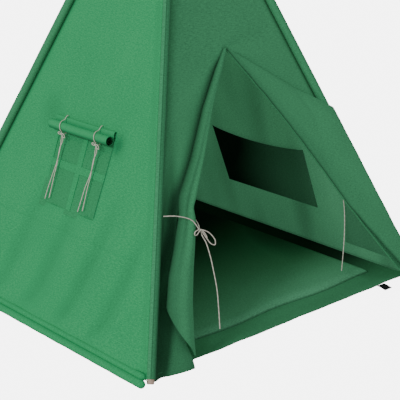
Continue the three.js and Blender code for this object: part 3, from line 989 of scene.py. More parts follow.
class Walls(Part):
    """The four walls with their hems, and the openings for the door and the window.

    FOLDS holds the ridges and dips at the left wall's foot: how high, where along y, and how wide.
    TUCK is the height of the stitched tuck across that wall.
    """

    TUCK = 0.288

    FOLDS = (
        (0.0090, -0.400, 0.030),
        (-0.0070, -0.330, 0.032),
        (0.0100, -0.245, 0.034),
        (-0.0080, -0.160, 0.034),
        (0.0090, -0.070, 0.036),
        (-0.0070, 0.020, 0.036),
        (0.0090, 0.110, 0.038),
        (-0.0060, 0.200, 0.038),
        (0.0075, 0.300, 0.042),
    )

    def build(self) -> None:
        """Makes every wall and hem."""
        self.front()
        self.back()
        self.side(Side.LEFT)
        self.side(Side.RIGHT)
        for side in Side:
            self.top_hem(side)
        for way in (-1, 1):
            self.foot_hem(way)

    def crease(self, gap: Array) -> Array:
        """The dip beside a sleeve: 7 mm deep where the cloth leaves it, and gone 20 mm away."""
        return -0.0070 * np.exp(-((gap / 0.011) ** 2))

    def rows(self, stops: Sequence[float], step: float) -> Array:
        """Heights with a row exactly at each stop and even rows between."""
        pieces = [
            np.linspace(a, b, max(2, int(round((b - a) / step))) + 1)[:-1] for a, b in zip(stops, stops[1:])
        ]
        return np.concatenate([*pieces, [stops[-1]]])

    def bands(self, edges: Sequence[Array], counts: Sequence[int]) -> tuple[Array, Array]:
        """Places across a wall, evenly between edges that change with height.

        Args:
            edges: for each edge, its place at every row.
            counts: how many columns lie between each edge and the next.

        Returns:
            The places, rows by columns, and the number of the band that each column of faces is in.
        """
        out, band = [], []
        for k, (a, b, n) in enumerate(zip(edges, edges[1:], counts)):
            t = np.linspace(0, 1, n + 1)
            t = t if k == len(counts) - 1 else t[:-1]
            out.append(a[:, None] + (b - a)[:, None] * t)
            band.append(np.full(n, k))
        return np.concatenate(out, axis=1), np.concatenate(band)

    def limits(self, side: Side, z: Array) -> tuple[Array, Array]:
        """Where a wall meets its two sleeves, from its lower to its higher end across."""
        first, second, k, _ = side.value
        a, b = self.shape.edge(first, k, z), self.shape.edge(second, k, z)
        return np.minimum(a, b) + INSET, np.maximum(a, b) - INSET

    def waves(self, y: Array, z: Array, seed: int) -> Array:
        """The broad slow waves of a side wall, with smaller ones over them."""
        return 0.0028 * ripple(y, z, seed, 0.55) + 0.0006 * ripple(y, z, 6, 0.13)

    def left_grid(self) -> tuple[Array, Array, Array, Array, Array]:
        """The left wall's rows and columns, with lines along the tuck and the window's edges.

        Returns:
            The heights, the wall's two ends at each, the places across, and the band that each
            column of faces is in.
        """
        s, foot, line = self.sizes, 0.012, 0.004
        z = self.rows([foot, self.TUCK - line, self.TUCK, self.TUCK + line, *s.window_z, s.cloth_top], 0.010)
        low, high = self.limits(Side.LEFT, z)
        low = low - INSET + 0.0015
        widest = self.limits(Side.LEFT, np.array([0.62]))[1][0]
        shrink = np.minimum(1.0, high / widest)
        edges = [low, s.window_y[0] * shrink, s.window_y[1] * shrink, high]
        y, band = self.bands(edges, [46, 28, 52])
        return z, low, high, y, band

    def right_grid(self) -> tuple[Array, Array, Array, Array, Array]:
        """The right wall's rows and columns, as in left_grid, all in one band."""
        z = self.rows([0.004, self.sizes.cloth_top], 0.010)
        low, high = self.limits(Side.RIGHT, z)
        y, band = self.bands([low, high], [110])
        return z, low, high, y, band

    def left_relief(self, y: Array, z: Array, near: Array, gap: Array) -> tuple[Array, Array]:
        """How far the left wall stands out, and the shade painted on it.

        It flares out to its hem roll at the foot, and passes over the front pole's sleeve. Soft
        slanting ridges run down from the middle to the foot, strongest below a third of the height.

        Args:
            y: place across.
            z: height.
            near: distance from the front pole's end.
            gap: distance from the back pole's end.

        Returns:
            Outward distance and darkness.
        """
        s = self.sizes
        within = np.minimum(gap, near)
        slant = y + 0.30 * (z - 0.1)
        folds = sum(rise * bell(slant, at, wide) for rise, at, wide in self.FOLDS)
        folds = folds * (smoothstep(z, 0.50, 0.20) * smoothstep(z, 0.015, 0.08))
        flare = 0.0245 * smoothstep(z, 0.150, 0.014) ** 1.5 * smoothstep(within, 0.0, 0.05)
        over = 0.0152 * smoothstep(near, 0.052, -0.004)
        tuck = 0.0011 * bell(z, self.TUCK, 0.0035)
        soft = smoothstep(within, 0.0, 0.14) * (folds + self.waves(y, z, 5))
        off = np.maximum(flare, over) + soft + self.crease(gap)
        off = off - tuck * smoothstep(y, -0.52, -0.49) * smoothstep(y, 0.34, 0.30)

        # Painted shade: beside the back sleeve, in the dips of the slanting folds and along the tuck; a dark
        # line beside the window's front edge; painted shadow under and beside the roll.
        shade = 0.58 * bell(gap, 0.0, 0.016) + np.clip(-folds, 0, 1) * 19
        shade = shade + 0.05 * bell(z, self.TUCK, 0.002)
        beside_hole = (z > s.window_z[0]) & (z < s.window_z[1] - 0.02)
        edge_line = bell(y, s.window_y[0] - 0.001, 0.0026) * beside_hole
        under_roll = bell(y, s.window_y[0] - 0.022, 0.024) * bell(z, 0.580, 0.030)
        beside_roll = bell(y, 0.165, 0.050) * bell(z, 0.620, 0.060)
        shade = np.maximum(shade, 0.85 * edge_line)
        return off, np.maximum(shade, 0.42 * under_roll + 0.14 * beside_roll)

    def right_relief(self, y: Array, z: Array, near: Array, gap: Array) -> tuple[Array, Array]:
        """How far the right wall stands out, as left_relief with waves only, and the shade painted on it."""
        inner = smoothstep(np.minimum(gap, near), 0.0, 0.14)
        off = inner * (0.35 * self.waves(y, z, 8)) + self.crease(gap)
        # Painted shade: slanting bands for soft wrinkles, beside the sleeves, and towards the front.
        wrinkle_shade = np.clip(ripple(y + 0.25 * z, z * 0.15, 9, 0.13) + 0.1, 0, 1)
        return off, 0.30 * wrinkle_shade + 0.3 * bell(gap, 0.0, 0.02) + 0.12 * smoothstep(y, -0.1, -0.4)

    def window_hole(self, z: Array, y: Array, band: Array, seam: Array) -> tuple[Array, Array]:
        """Cuts the window out of the left wall.

        Args:
            z: each row's height.
            y: the places across, rows by columns.
            band: the band that each column of faces is in; the window's is 1.
            seam: place and distance of the nearest hem.

        Returns:
            Which faces stay, and the seams with the window's own among them.
        """
        (near, far), (low, high) = self.sizes.window_y, self.sizes.window_z
        mid, zz = (z[:-1] + z[1:]) / 2, np.broadcast_to(z[:, None], y.shape)
        keep = ~(((mid > low) & (mid < high))[:, None] & (band == 1)[None, :])
        dy, dz = np.maximum(near - y, y - far), np.maximum(low - zz, zz - high)
        away = np.maximum(np.maximum(dy, dz), 0.0)
        nearer = (away < seam[..., 1])[..., None]
        return keep, np.where(nearer, np.stack([y + zz, away + 0.0015], -1), seam)

    def side(self, side: Side) -> None:
        """A side wall: the left one with the window and its hem's flare, or the plainer right one."""
        left = side is Side.LEFT
        hand, finish = ("left", CANVAS) if left else ("right", CANVAS_INNER)
        z, low, high, y, band = self.left_grid() if left else self.right_grid()
        zz = np.broadcast_to(z[:, None], y.shape)
        near, far = y - low[:, None], high[:, None] - y
        gap = far if left else np.minimum(near, far)
        off, shade = (self.left_relief if left else self.right_relief)(y, zz, near, gap)
        keep, seam = None, nearer_hem(y, zz, zz - 0.012, gap)
        if left:
            keep, seam = self.window_hole(z, y, band, seam)
        cloth = Cloth.grid(self.shape.at(side, y, zz, off), keep, seam).worn(shade)
        solid = cloth.shell(self.sizes.cloth, inside=1 if left else -1)
        obj = self.sew(f"cloth_side_wall_{hand}", solid, finish, None, [f"side_wall_{hand}"])
        window = 0.073 if left else 0.0
        0.925 - window

    def back(self) -> None:
        """The back wall: plain, with broad waves and a few upright ridges at the foot."""
        s, foot = self.sizes, 0.004
        z = self.rows([foot, s.cloth_top], 0.012)
        low, high = self.limits(Side.BACK, z)
        x, _ = self.bands([low, high], [100])
        zz = np.broadcast_to(z[:, None], x.shape)
        gap = np.minimum(x - low[:, None], high[:, None] - x)
        inner = smoothstep(gap, 0.0, 0.14)
        ridges = 0.003 * np.sin(x * 42 + 2.0 * zz) * smoothstep(zz, 0.3, 0.02)
        wave = 0.0035 * ripple(x, zz, 21, 0.5) + ridges
        points = self.shape.at(Side.BACK, x, zz, inner * wave + self.crease(gap))
        seam = nearer_hem(x, zz, zz - foot, gap)
        solid = Cloth.grid(points, None, seam).shell(s.cloth, inside=1)
        obj = self.sew("cloth_back_wall", solid, CANVAS_INNER, "back_frame", ["back_wall"])

    def front_relief(self, x: Array, z: Array, gap: Array) -> Array:
        """How far the front wall stands out.

        Soft ridges run from the door's top towards both poles. The left leg sinks back behind the
        pole and the gathered flap, and comes forward again at its foot.

        Args:
            x: place across.
            z: height.
            gap: distance from the nearer sleeve.

        Returns:
            Outward distance.
        """
        middle, top = Door.APEX
        ray = np.arctan2(x - middle, z - top + 1e-6)
        near = smoothstep(np.hypot(x - middle, z - top), 0.5, 0.06)
        pull = 0.0030 * near * (bell(ray, 1.9, 0.16) + bell(ray, -2.2, 0.14) - bell(ray, 1.5, 0.2))
        broad = 0.0030 * ripple(x, z, 31, 0.45) + 0.0006 * ripple(x, z, 32, 0.11)
        left = x < 0
        sink = -0.042 * smoothstep(z, 0.70, 0.20) * bell(gap, 0.040, 0.034) * smoothstep(z, -0.02, 0.07)
        sink = (sink - 0.016 * smoothstep(z, 0.5, 0.2) * smoothstep(gap, 0.0, 0.06)) * left
        sink = sink + 0.042 * left * smoothstep(z, 0.15, 0.01) * smoothstep(gap, 0.02, 0.12)
        inner = smoothstep(gap, 0.0, 0.11)
        return inner * (broad + pull) * smoothstep(z, 0.0, 0.2) + self.crease(gap) + sink

    def front_shade(self, x: Array, z: Array, gap: Array) -> Array:
        """The shade painted on the front wall: beside its sleeves, down its left leg and along both flaps.

        Args:
            x: place across.
            z: height.
            gap: distance from the nearer sleeve.

        Returns:
            Painted shade.
        """
        left = x < 0
        valley = left * smoothstep(z, 0.62, 0.25) * smoothstep(z, 0.02, 0.13) * bell(gap, 0.006, 0.040)
        beside = x - Door.flap_left(z)
        fold = left * bell(beside, 0.006, 0.026) * smoothstep(z, 0.853, 0.80) * smoothstep(z, 0.10, 0.30)
        edge = 0.45 * bell(gap, 0.0, 0.014) * np.where(left, smoothstep(z, 0.7, 0.4), 1.0)
        low_leg = left * smoothstep(z, 0.34, 0.16) * (0.38 + 0.34 * smoothstep(gap, 0.09, 0.0))
        shade = np.maximum(np.maximum(edge, 0.95 * valley), np.maximum(0.66 * fold, low_leg))
        rim = 0.30 * bell(x - Door.rim_x(z), 0.004, 0.009) * ~left * smoothstep(z, 0.855, 0.80)
        return np.maximum(shade, rim)

    def front(self) -> None:
        """The front wall: one cloth above the door, parting into two legs below its top.

        The left leg runs between the pole and the gathered flap. The right leg ends at the fold line
        of the right flap. Above the door the two halves share the points of their meeting line.
        """
        s, foot = self.sizes, 0.004
        top = Door.APEX[1]
        z = self.rows([foot, top, s.cloth_top], 0.010)
        low, high = self.limits(Side.FRONT, z)
        left_x, _ = self.bands([low, Door.left_edge(z)], [40])
        hidden = 0.005 * smoothstep(z, top, top - 0.03)
        right_x, _ = self.bands([Door.hinge_x(z) + hidden, high], [40])
        x = np.concatenate([left_x, right_x], axis=1)
        zz = np.broadcast_to(z[:, None], x.shape)
        gap = np.minimum(x - low[:, None], high[:, None] - x)
        points = self.shape.at(Side.FRONT, x, zz, self.front_relief(x, zz, gap))
        points[..., 2] = np.maximum(points[..., 2], 0.0014)

        rows, columns = x.shape
        split, whole = left_x.shape[1], z >= top - 1e-9
        index = np.arange(rows * columns).reshape(rows, columns)
        index[whole, split] = index[whole, split - 1]
        keep = np.ones((rows - 1, columns - 1), bool)
        keep[:, split - 1] = False
        down = zz - foot
        open_edge = np.where(x < 0, Door.left_edge(z)[:, None] - x, x - Door.hinge_x(z)[:, None])
        open_edge = np.where(zz < top, np.abs(open_edge), 0.5)
        nearest = np.minimum(np.minimum(down, gap), open_edge)
        seam = np.stack([np.where(nearest == down, x, zz), nearest], axis=-1)
        cloth = Cloth.grid(points, keep, seam, index).worn(self.front_shade(x, zz, gap))
        solid = cloth.shell(s.cloth, inside=-1)
        obj = self.sew("cloth_front_wall", solid, CANVAS_SHADED, "front_frame", ["front_wall"])

    def top_hem(self, side: Side) -> None:
        """The doubled band inside the top edge of a wall."""
        low, high = 1.248, 1.2895
        uu, zz = np.meshgrid(np.linspace(0.10, 0.90, 40), np.linspace(low, high, 12))
        off = -0.0022 + 0.0004 * ripple(uu, zz * 3, 71, 0.2)
        points = self.shape.wall(side, uu, zz, off)
        seam = np.stack([uu * 0.2, np.minimum(zz - low, high - zz)], axis=-1)
        solid = Cloth.grid(points, None, seam).shell(0.0011)
        name = side.name.lower()
        body = {Side.FRONT: "front_frame", Side.BACK: "back_frame"}.get(side)
        self.sew(f"band_top_{name}", solid, CANVAS, body, [f"top_hem_{name}"])

    def foot_hem(self, way: int) -> None:
        """The roll and the tube along the foot of a side wall.

        Both are soft tubes whose radius ripples by a few per cent, with rounded ends.
        """
        name, finish, roll_x = ("left", CANVAS, 0.6125) if way < 0 else ("right", CANVAS_SHADED, 0.6135)
        angle = np.linspace(0.12, np.pi / 2, 8)

        def soft(phi: Array, along: Array) -> Array:
            """The share of the radius at an angle and a distance along."""
            return 1 + 0.05 * ripple(phi * 0.01, along, 41, 0.12) - 0.02

        for node, x, z, r, half in (
            ("hem_tube", 0.6290, 0.0134, 0.0128, 0.594),
            ("hem_roll", roll_x, 0.0250, 0.0120, 0.578),
        ):
            end = half + r * np.cos(angle)
            y = np.concatenate([-end, np.linspace(-half, half, 150)[1:-1], end[::-1]])
            edge = np.clip((half + r - np.abs(y)) / r, 0.0, 1.0)
            radius = r * np.sqrt(np.clip(1 - (1 - edge) ** 2, 0.01, 1.0))
            path = np.stack([np.full_like(y, way * x), y, np.full_like(y, z)], axis=1)
            solid = Solid.tube(path, radius, 28, soft)
            self.sew(f"cloth_{node}_{name}", solid, finish, None, [f"{node}_{name}"])


class Door(Part):
    """The door's two flaps, the bend between the right one and its leg, and their ties.

    APEX is x and z of the door's top. LEFT, RIGHT and DEEP are the gathered left flap's edges and
    its depth at the heights in STOPS.
    """

    APEX = (-0.017, 0.849)
    STOPS = (0.006, 0.090, 0.178, 0.260, 0.330, 0.395, 0.430, 0.470, 0.560, 0.690, 0.790, 0.846)
    LEFT = (-0.520, -0.500, -0.488, -0.452, -0.408, -0.372, -0.362, -0.340, -0.262, -0.168, -0.080, -0.024)
    RIGHT = (-0.437, -0.418, -0.392, -0.360, -0.330, -0.304, -0.294, -0.272, -0.212, -0.128, -0.050, -0.010)
    DEEP = (0.034, 0.032, 0.030, 0.028, 0.028, 0.026, 0.026, 0.028, 0.024, 0.016, 0.009, 0.003)

    @staticmethod
    def left_edge(z: Array) -> Array:
        """x of the left leg's free edge at each height."""
        return np.interp(z, [0.0, 0.178, 0.448, 0.849], [-0.449, -0.440, -0.335, -0.017])

    @staticmethod
    def flap_left(z: Array) -> Array:
        """x of the gathered left flap's left edge at each height."""
        return np.interp(z, Door.STOPS, Door.LEFT)

    @staticmethod
    def hinge_x(z: Array) -> Array:
        """x of the right flap's fold line at each height, bowed a little to the right."""
        line = np.interp(z, [0.003, 0.849], [0.560, -0.017])
        bow = 0.016 * np.sin(np.pi * np.clip((z - 0.3) / 0.549, 0, 1))
        return line + bow + 0.0022 * ripple(z, z * 0, 54, 0.07) * smoothstep(z, 0.85, 0.75)

    @staticmethod
    def rim_x(z: Array) -> Array:
        """x of the folded right flap's upper free edge, which falls 0.642 for each unit across."""
        return Door.APEX[0] + (Door.APEX[1] - z) / 0.642

    def build(self) -> None:
        """Makes the flaps and the bend, then the cords."""
        self.left_flap()
        self.right_flap()
        self.fold()
        self.cords()

    def left_flap(self) -> None:
        """The gathered left flap.

        Across, the cloth is most of an oval tube that opens to the wall: from behind its right edge,
        round its front, to behind its left edge. Its width and depth change with height, narrowest at
        the top and pinched at the tie. Its lower hem rises towards the left, because the cloth is
        folded back there.
        """
        t = np.linspace(0, 1, 130)[:, None]
        phi = np.linspace(-0.9, np.pi + 0.75, 70)[None, :]
        top = 0.846
        hem = 0.034 + 0.150 * (1.0 - np.clip(np.cos(phi / 2), 0.0, 1.0))
        z = top + (hem - top) * t
        a, b, d = (np.interp(z, self.STOPS, v) for v in (self.LEFT, self.RIGHT, self.DEEP))
        pinch = bell(z, 0.425, 0.022)
        a, b, d = a + 0.007 * pinch, b - 0.005 * pinch, d * (1 - 0.12 * pinch)
        x = (a + b) / 2 + (b - a) / 2 * np.cos(phi)
        pleat = 0.0022 * np.sin(phi * 5 + z * 6.0) * smoothstep(z, 0.80, 0.62)
        pleat = pleat * (0.35 + bell(z, 0.43, 0.14))
        off = 0.0035 + (d + pleat) * (0.30 + 0.70 * np.sin(phi))
        points = self.shape.at(Side.FRONT, x, z, np.maximum(off, 0.0012))
        phi = np.broadcast_to(phi, z.shape)
        seam = np.abs(np.stack([phi * 0.03, z - hem], axis=-1))
        # Painted shade darkens the flap's left side, where it turns back to the wall.
        cloth = Cloth.grid(points, None, seam).worn(0.62 * smoothstep(phi, 1.5, 3.3))
        solid = cloth.shell(self.sizes.cloth)
        obj = self.sew("cloth_left_flap", solid, CANVAS_SHADED, "front_frame", ["door_flap_left"])

    def over_pole(self, beyond: Array, z: Array, lift: Array) -> Array:
        """A place on the folded right flap.

        It lies on the front wall up to the pole, turns round the pole on an arc, and goes on along
        the outside of the right wall. beyond is the distance along that way from the pole's axis,
        less than zero in front of it.

        Args:
            beyond: distance past the pole, along the cloth.
            z: height.
            lift: how far outside the walls it lies.

        Returns:
            The points.
        """
        pole = self.shape.edge(Corner.FRONT_RIGHT, 0, z)
        pole_y = self.shape.edge(Corner.FRONT_RIGHT, 1, z)
        turn = math.radians(82.6)
        arc = lift * turn
        angle = np.clip((beyond + arc / 2) / np.maximum(arc, 1e-6), 0.0, 1.0)
        front = self.shape.at(Side.FRONT, pole + np.minimum(beyond + arc / 2, 0.0), z, lift)
        rest = np.maximum(beyond - arc / 2, 0.0)
        right = self.shape.at(Side.RIGHT, pole_y + rest, z, lift)
        axis = self.shape.axis(Corner.FRONT_RIGHT, z)
        n_front = unit(np.array(Side.FRONT.value[3]))
        n_right = unit(np.array(Side.RIGHT.value[3]))
        w1 = np.sin((1 - angle) * turn) / math.sin(turn)
        w2 = np.sin(angle * turn) / math.sin(turn)
        bend = axis + (w1[..., None] * n_front + w2[..., None] * n_right) * lift[..., None]
        out = np.where((angle <= 0)[..., None], front, bend)
        return np.where((angle >= 1)[..., None], right, out)

    def right_flap(self) -> None:
        """The right flap, folded back over the front wall and round the right pole.

        Laid flat it is a triangle from the door's top: its fold line, its upper free edge and its
        lower edge. It lies close to the wall beside the fold line, lifts over the sleeve, and bows
        out in soft folds that fan from the door's top. It is made in two pieces that meet along the
        middle of the turn round the pole. Its cloth is reckoned a little larger than its outline, for
        the folds: 1.19 and 1.08 times in area, and 1.12 times in height for the wall's slope; nothing
        here uses these figures.
        """
        z = np.linspace(0.846, 0.048, 150)
        fold = self.hinge_x(z)
        low_edge = 0.550 + (z - 0.003) * (0.140 / 0.432)
        outer = np.minimum(self.rim_x(z), low_edge)
        reach = np.maximum(outer, fold + 0.004)
        pole = self.shape.edge(Corner.FRONT_RIGHT, 0, z)
        whole = np.ones(len(z), bool)
        for part, body, node, columns, keep, start, stop, fuller in (
            ("front", "door_flap", "door_flap_right", 90, whole, fold, np.minimum(reach, pole), 1.19),
            ("tip", "door_flap_tip", "door_flap_right_tip", 60, reach > pole + 0.004, pole, reach, 1.08),
        ):
            across = (stop - start)[keep]
            x = start[keep][:, None] + across[:, None] * np.linspace(0, 1, columns)
            zz = np.broadcast_to(z[keep][:, None], x.shape)
            beyond = x - pole[keep][:, None]
            inside = x - fold[keep][:, None]
            round_edge = 0.0032 * np.sqrt(np.clip(inside / 0.006, 0.0, 1.0))
            over = 0.0172 * smoothstep(beyond, -0.150, -0.016)
            fan = np.arctan2(x - self.APEX[0], self.APEX[1] - zz + 0.02)
            puff = 0.0045 * smoothstep(inside, 0.02, 0.12) * smoothstep(beyond, -0.02, -0.12)
            broad = np.sin(fan * 17.0 + 0.6)
            folds = 0.0032 * broad + 0.0016 * np.sin(fan * 39.0)
            folds = folds * smoothstep(inside, 0.01, 0.08) * (0.35 + 0.65 * smoothstep(zz, 0.70, 0.50))
            bulge = 0.0050 * smoothstep(beyond, -0.03, 0.03) * (0.4 + 0.6 * ripple(zz, zz * 0, 52, 0.16))
            lift = 0.0022 + round_edge + np.maximum(over, puff + folds * 0.8 + 0.001) + bulge
            rim = np.abs(outer[keep][:, None] - x)
            away = np.minimum(np.maximum(inside, 0.0), rim) if part == "front" else rim
            cloth = Cloth.grid(self.over_pole(beyond, zz, lift), None, np.stack([zz, away], axis=-1))
            # Painted shade along the fold line and in the troughs of the broad folds.
            cloth.worn(0.45 * bell(inside, 0.0, 0.004) + 0.10 * np.clip(-broad, 0, 1))
            solid = cloth.shell(self.sizes.cloth)
            obj = self.sew(f"cloth_right_flap_{part}", solid, CANVAS_SHADED, body, [node])

    def fold(self) -> None:
        """The bend of cloth between the right leg and the right flap.

        Across, it goes from the leg's edge round the fold to the flap's edge. Its share of the flap's
        turn rises evenly from one to the other; weigh does nothing with it, and the bend is put on no body.
        """
        z = np.linspace(0.842, 0.050, 130)[:, None]
        t = np.linspace(0.0, 1.0, 11)[None, :]
        x = self.hinge_x(z) + 0.0045 - 0.0057 * np.sin(np.pi * t)
        points = self.shape.at(Side.FRONT, x, z, -0.0020 + 0.0046 * t)
        solid = Cloth.grid(points).shell(self.sizes.cloth)
        # The darker fold finish is painted shade in the bend.
        obj = solid.build("cloth_door_fold", self.materials.cloth(CANVAS_FOLD))
        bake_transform(obj)
        self.weigh(obj, np.tile(np.broadcast_to(t, x.shape).ravel(), 2))

    def cords(self) -> None:
        """The tie round the left flap, with its bow and long tail, and the tie hanging at the right."""
        radius = self.sizes.cord_radius
        long_way = self.on_wall(Side.FRONT, [
            [-424, 427, 17], [-410, 424, 24], [-394, 420, 31], [-376, 414, 34], [-358, 407, 34.5],
            [-344, 400, 34.5], [-333, 392, 34], [-325, 379, 34.5], [-318, 366, 35.5], [-309, 361, 39.5],
            [-293, 352, 41], [-280, 339, 40], [-271, 320, 38.5], [-274, 311, 37], [-283, 314, 35.5],
            [-298, 335, 34.5], [-312, 360, 34], [-311, 350, 32], [-302, 326, 31], [-298, 290, 31],
            [-299, 240, 31], [-303, 190, 31], [-314, 138, 31], [-328, 82, 31],
        ])
        path = curve_through(long_way, 0.0022)
        self.string("cord_left_tie", path, radius, "front_frame", ["door_tie_left"])

        short_way = self.on_wall(Side.FRONT, [
            [-303, 392, 10], [-308, 382, 22], [-314, 372, 32], [-322, 365, 37], [-331, 364, 38.5],
            [-339, 361, 38], [-341, 354, 36], [-334, 352, 35.5], [-325, 357, 36.5], [-316, 363, 39.5],
            [-308, 356, 39], [-300, 346, 37], [-296, 336, 35],
        ])
        self.string("cord_left_tie_end", curve_through(short_way, 0.0020), radius, "front_frame")

        high, drop = 0.314, 0.262
        top = self.shape.at(Side.FRONT, self.hinge_x(np.array(high)) + 0.017, high, -0.020)
        down = np.linspace(0, 1, 9)
        aside = 0.0100 * np.sin(np.pi * down**0.8) + 0.0060 * down + 0.003
        hang = np.stack([top[0] + aside, top[1] + 0 * down, top[2] - drop * down], axis=1)
        path = curve_through(hang, 0.0022)
        self.string("cord_right_tie", path, radius, "front_frame", ["door_tie_right"])


class Window(Part):
    """The window in the left wall: net, crossing bars, the rolled flap and its two ties.

    The roll's axis runs at height ROLL_Z and at OUT from the wall, and its radius is ROLL_R.
    """

    ROLL_Z = 0.5865
    ROLL_R = 0.0152
    OUT = 0.0206

    def build(self) -> None:
        """Makes the window's pieces."""
        self.net()
        self.bars()
        self.roll()
        for name, y, seed in (("back", 0.060, 3), ("front", -0.116, 4)):
            self.tie(name, y, seed)

    def net(self) -> None:
        """The net behind the opening, flat with a slow ripple of a fifth of a millimetre."""
        s, hem = self.sizes, 0.014
        y = np.linspace(s.window_y[0] - hem, s.window_y[1] + hem, 60)
        z = np.linspace(s.window_z[0] - hem, s.window_z[1] + hem, 56)
        yy, zz = np.meshgrid(y, z)
        points = self.shape.at(Side.LEFT, yy, zz, -0.0020 + 0.0002 * ripple(yy, zz, 61, 0.12))
        obj = self.sew("net_window", Cloth.grid(points).shell(0.0008), NET, None, ["window_net"])

    def bars(self) -> None:
        """The crossing bars: a cross of two cloth strips, made as one surface on a banded grid."""
        s = self.sizes
        mid_y, mid_z, half = sum(s.window_y) / 2 - 0.001, sum(s.window_z) / 2, 0.0115

        def stops(low: float, high: float, mid: float) -> Array:
            """Places across the opening, with a bar's two edges among them."""
            one = np.linspace(low + 0.0006, mid - half, 16)[:-1]
            bar = np.linspace(mid - half, mid + half, 6)[:-1]
            return np.concatenate([one, bar, np.linspace(mid + half, high - 0.0006, 16)])

        y, z = stops(*s.window_y, mid_y), stops(*s.window_z, mid_z)
        yy, zz = np.meshgrid(y, z)
        cy, cz = (y[:-1] + y[1:]) / 2, (z[:-1] + z[1:]) / 2
        keep = (np.abs(cy - mid_y) < half)[None, :] | (np.abs(cz - mid_z) < half)[:, None]
        points = self.shape.at(Side.LEFT, yy, zz, -0.0006 + 0.0002 * ripple(yy, zz, 62, 0.1))
        away = np.minimum(np.abs(yy - mid_y), np.abs(zz - mid_z))
        seam = np.stack([yy + zz, np.abs(half - away)], axis=-1)
        solid = Cloth.grid(points, keep, seam).shell(s.cloth)
        self.sew("bars_window", solid, CANVAS_BAR, None, ["window_cross_bars"])

    def roll(self) -> None:
        """The window flap, rolled outwards.

        From its seam above the window the cloth rises a little close to the wall, bends out and comes
        down behind the roll. It goes on as a spiral of one and three quarter turns whose radius
        shrinks, faster after its first 42 hundredths, so that its end shows the turns inside each
        other. The wall leans, so a place on it is 0.934 as high as it is far along.
        """
        y = np.linspace(-0.169, 0.131, 90)
        turns, thick = 1.75, 0.0013
        t = np.linspace(0, 1, 120)
        r0 = self.ROLL_R - 0.0006
        phi = np.pi + 2 * np.pi * turns * t
        r = r0 * (1 - 0.66 * np.clip((t - 0.42) / 0.58, 0.0, 1.0) - 0.10 * t)
        lead = np.array([
            [0.0018, 0.016], [0.0024, 0.025], [0.0050, 0.0315], [0.0092, 0.0300], [0.0104, 0.0240],
            [0.0086, 0.0150], [0.0062, 0.0060], [self.OUT - r0, 0.0],
        ])
        lead = curve_through(np.insert(lead, 0, 0.0, axis=1), 0.0012)[:-1, 1:]
        line = np.concatenate([lead, np.stack([self.OUT + r * np.cos(phi), r * np.sin(phi)], axis=1)])
        yy, oo = np.meshgrid(y, line[:, 0])
        uu = np.broadcast_to(line[:, 1:], yy.shape)
        soft = 0.0007 * ripple(yy, uu * 2, 63, 0.09)
        sag = 0.0012 * np.sin((yy - y[0]) / (y[-1] - y[0]) * np.pi)
        zz = self.ROLL_Z + uu * 0.934 - sag
        points = self.shape.at(Side.LEFT, yy, zz, oo + soft)
        seam = np.stack([uu * 2 + oo, np.minimum(yy - y[0], y[-1] - yy)], axis=-1)
        inner_turns = np.concatenate([np.zeros(len(lead)), smoothstep(t, 0.36, 0.60)])[:, None]
        underside = smoothstep(uu, -0.002, -self.ROLL_R) * (oo > 0.5 * self.OUT)
        # Painted shade on the inner turns seen at the roll's end, and on the roll's underside.
        cloth = Cloth.grid(points, None, seam).worn(np.maximum(0.90 * inner_turns, 0.42 * underside))
        nodes = ["window_flap_roll", "window_flap_head"]
        obj = self.sew("cloth_window_roll", cloth.shell(thick), CANVAS_ROLL, None, nodes)

    def tie(self, name: str, y: float, seed: int) -> None:
        """One window tie: two cords that meet in a bow under the roll and hang in two tails.

        The outer cord comes from the seam above the roll, over its front, to the knot. The inner
        one comes from behind the roll. The tails cross once below the knot.
        """
        sway = np.random.default_rng(seed).uniform(-1.2, 1.2, 4)
        c, zc, out = y * 1000, self.ROLL_Z * 1000, self.OUT * 1000
        r = self.ROLL_R * 1000 + 2.6
        arc = [
            [c + 10 - 1.8 * k, zc + r * math.sin(a), out + r * math.cos(a)]
            for k, a in enumerate(np.radians([64, 42, 20, 0, -26, -54]))
        ]
        outer = [
            [c + 17, zc + 35, 3.0], [c + 16, zc + 35, 8.5], [c + 14, zc + 29, 14.0], [c + 12, zc + 22, 18.0],
            *arc, [c + 1, zc - 18, out + 5], [c + 4, zc - 22, out + 5],
            [c - 6, zc - 20, out + 7], [c - 15, zc - 25, out + 5], [c - 17, zc - 31, out + 3],
            [c - 9, zc - 31, out + 3.5], [c - 2, zc - 25, out + 3.5], [c + 2, zc - 30, out + 0.5],
            [c + 1, zc - 60, out - 4], [c + 3, zc - 112, 13.5],
            [c + 12 + sway[0], zc - 150, 11], [c + 18, zc - 190, 9], [c + 23 + sway[1], zc - 226, 7],
        ]
        inner = [
            [c + 4, zc - 8, 3.0], [c + 4, zc - 19, 9], [c + 3, zc - 24, out - 5], [c + 6, zc - 23, out + 2],
            [c + 14, zc - 18, out + 5], [c + 21, zc - 22, out + 4], [c + 15, zc - 25, out + 3],
            [c + 5, zc - 24, out + 1.5], [c - 3, zc - 36, out - 2], [c + 4, zc - 66, out - 5.5],
            [c + 1, zc - 112, 12], [c + 1 + sway[2], zc - 150, 10.5], [c + 2, zc - 186, 8.5],
            [c + 3 + sway[3], zc - 219, 6.5],
        ]
        for part, rows, nodes in (("outer", outer, [f"window_tie_{name}"]), ("inner", inner, [])):
            path = curve_through(self.on_wall(Side.LEFT, rows), 0.0020)
            self.string(f"cord_window_{name}_{part}", path, 0.0014, None, nodes)


